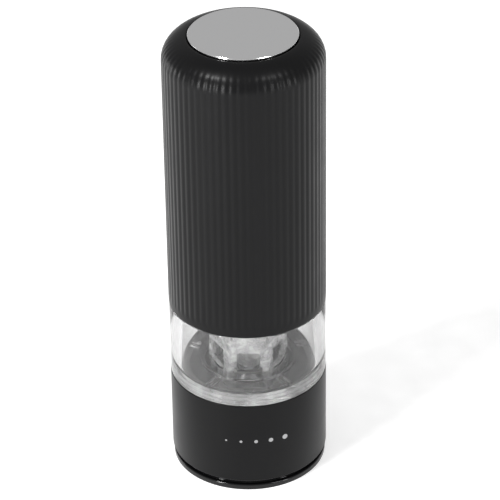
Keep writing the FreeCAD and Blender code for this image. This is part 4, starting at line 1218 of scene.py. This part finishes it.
@dataclass
class Studio:
    """Floor, sky, lamps and camera.

    Attributes:
        stand: Camera's distance in front of the axis, in metres.
        eye: Camera's height.
        pitch: Tilt down, in radians.
        roll: Turn about the view line.
        yaw: Turn to the right.
        lens: Focal length in mm on a 36 mm sensor.
        sky: Strength of the even light all round.
        paper_glow: Light from the lit paper under the mill.
        target: The point that the lamps face, in metres.
        rings: Radii of the floor's rings, in metres.
        sensor: Width of the camera's sensor, in mm.
        clip: Nearest and farthest distance that the camera sees, in metres.
    """

    stand: float = 0.8290
    eye: float = 0.5969
    pitch: float = 0.5565
    roll: float = -0.0156
    yaw: float = 0.0014
    lens: float = 207.2
    sky: float = 0.45
    paper_glow: float = 0.38
    target: Vector = field(default_factory=lambda: Vector((0.0, 0.0, 0.09)))
    rings: tuple = (0.0, 0.3, 4.0)
    sensor: float = 36.0
    clip: tuple = (0.01, 50.0)
    lamps: tuple = (
        SoftBox("key_left", -53.0, 52.0, 1.3, 0.24, 0.24, 9.5),
        SoftBox("fill_right", 49.0, 53.0, 1.3, 0.2, 0.2, 3.6),
        SoftBox("strip_left", -43.0, 10.0, 1.0, 0.12, 0.5, 6.0),
        SoftBox("strip_right", 50.0, 10.0, 1.0, 0.12, 0.5, 2.6),
        SoftBox("side_left", -112.0, 0.0, 0.9, 0.3, 0.2, 1.0),
        SoftBox("side_right", 116.0, 0.0, 0.9, 0.3, 0.2, 0.2),
    )

    def build(self) -> None:
        """Make everything round the mill."""
        self.floor()
        self.world()
        for lamp in self.lamps:
            self.hang(lamp)
        self.camera()
        bpy.context.scene.view_settings.view_transform = "Standard"

    def floor(self) -> None:
        """A wide pale round floor, a grid of rings from the middle outward."""
        outline = np.array([(radius, 0.0) for radius in self.rings]) / MM
        ground = GridPiece("floor", turned_grid(outline, 96), rows_closed=False).build()
        paper = Moulded("pale_floor", (0.93, 0.93, 0.93), 0.6, 0.05, 300.0, 2e-6).material()
        shader = next(node for node in paper.node_tree.nodes if node.type == "BSDF_PRINCIPLED")
        shader.inputs["Emission Color"].default_value = (1.0, 1.0, 1.0, 1.0)
        shader.inputs["Emission Strength"].default_value = self.paper_glow
        ground.data.materials.append(paper)

    def world(self) -> None:
        """An even white sky."""
        sky = bpy.data.worlds.new("studio_sky")
        sky.use_nodes = True
        back = sky.node_tree.nodes["Background"]
        back.inputs["Color"].default_value = (1.0, 1.0, 1.0, 1.0)
        back.inputs["Strength"].default_value = self.sky
        bpy.context.scene.world = sky

    def hang(self, lamp: SoftBox) -> None:
        """Hang one soft lamp at its own reach from the target, facing it."""
        bearing, rise = math.radians(lamp.bearing), math.radians(lamp.rise)
        away = Vector((
            math.sin(bearing) * math.cos(rise), -math.cos(bearing) * math.cos(rise), math.sin(rise),
        ))
        data = bpy.data.lights.new(lamp.name, "AREA")
        data.shape = "RECTANGLE"
        data.size, data.size_y, data.energy = lamp.width, lamp.height, lamp.power
        unit = bpy.data.objects.new(lamp.name, data)
        unit.location = self.target + away * lamp.reach
        unit.rotation_euler = (-away).to_track_quat("-Z", "Y").to_euler()
        bpy.context.scene.collection.objects.link(unit)

    def camera(self) -> None:
        """Camera from its stand, height and three turns; its axes are the columns of its matrix."""
        forward = Vector((
            math.sin(self.yaw) * math.cos(self.pitch), math.cos(self.yaw) * math.cos(self.pitch),
            -math.sin(self.pitch),
        ))
        right = Vector((math.cos(self.yaw), -math.sin(self.yaw), 0.0))
        up = right.cross(forward)
        side = math.cos(self.roll) * right + math.sin(self.roll) * up
        top = -math.sin(self.roll) * right + math.cos(self.roll) * up
        data = bpy.data.cameras.new("camera")
        data.lens, data.sensor_width = self.lens, self.sensor
        data.clip_start, data.clip_end = self.clip
        unit = bpy.data.objects.new("camera", data)
        turn = Matrix((side, top, -forward)).transposed()
        unit.matrix_world = Matrix.Translation((0.0, -self.stand, self.eye)) @ turn.to_4x4()
        bpy.context.scene.collection.objects.link(unit)
        bpy.context.scene.camera = unit


# ---- all together
# Nodes whose finish isn't the one of their slot.
SPECIAL = {
    "rotor_spring": "spring_bright", "spring_cup": "spring_bright", "bottom_plate": "pale_plate",
}


def dress_nodes(frame: dict, shop: PaintShop) -> None:
    """Give every node of the frame the finish of its slot, or its own where it has one.

    Args:
        shop: The paint shop.
    """
    for part in frame["record"]["subparts"]:
        node = frame["nodes"][part["node"]]
        material = shop.finish(SPECIAL.get(part["node"], part["material_slot"]))
        for index in range(len(node.material_slots)):
            node.material_slots[index].material = material
        log.info("%s: %s", part["node"], part["material_slot"])


def main() -> None:
    """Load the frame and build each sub-assembly."""
    logging.basicConfig(level=logging.INFO, format="%(name)s: %(message)s")
    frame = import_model()
    Studio().build()
    shop = PaintShop()
    dress_nodes(frame, shop)
    for assembly in (Handle, PushButton, PressParts, Base, Jar, Guard):
        assembly(shop).build()
        log.info("%s built", assembly.__name__)


if __name__ == "__main__":
    main()
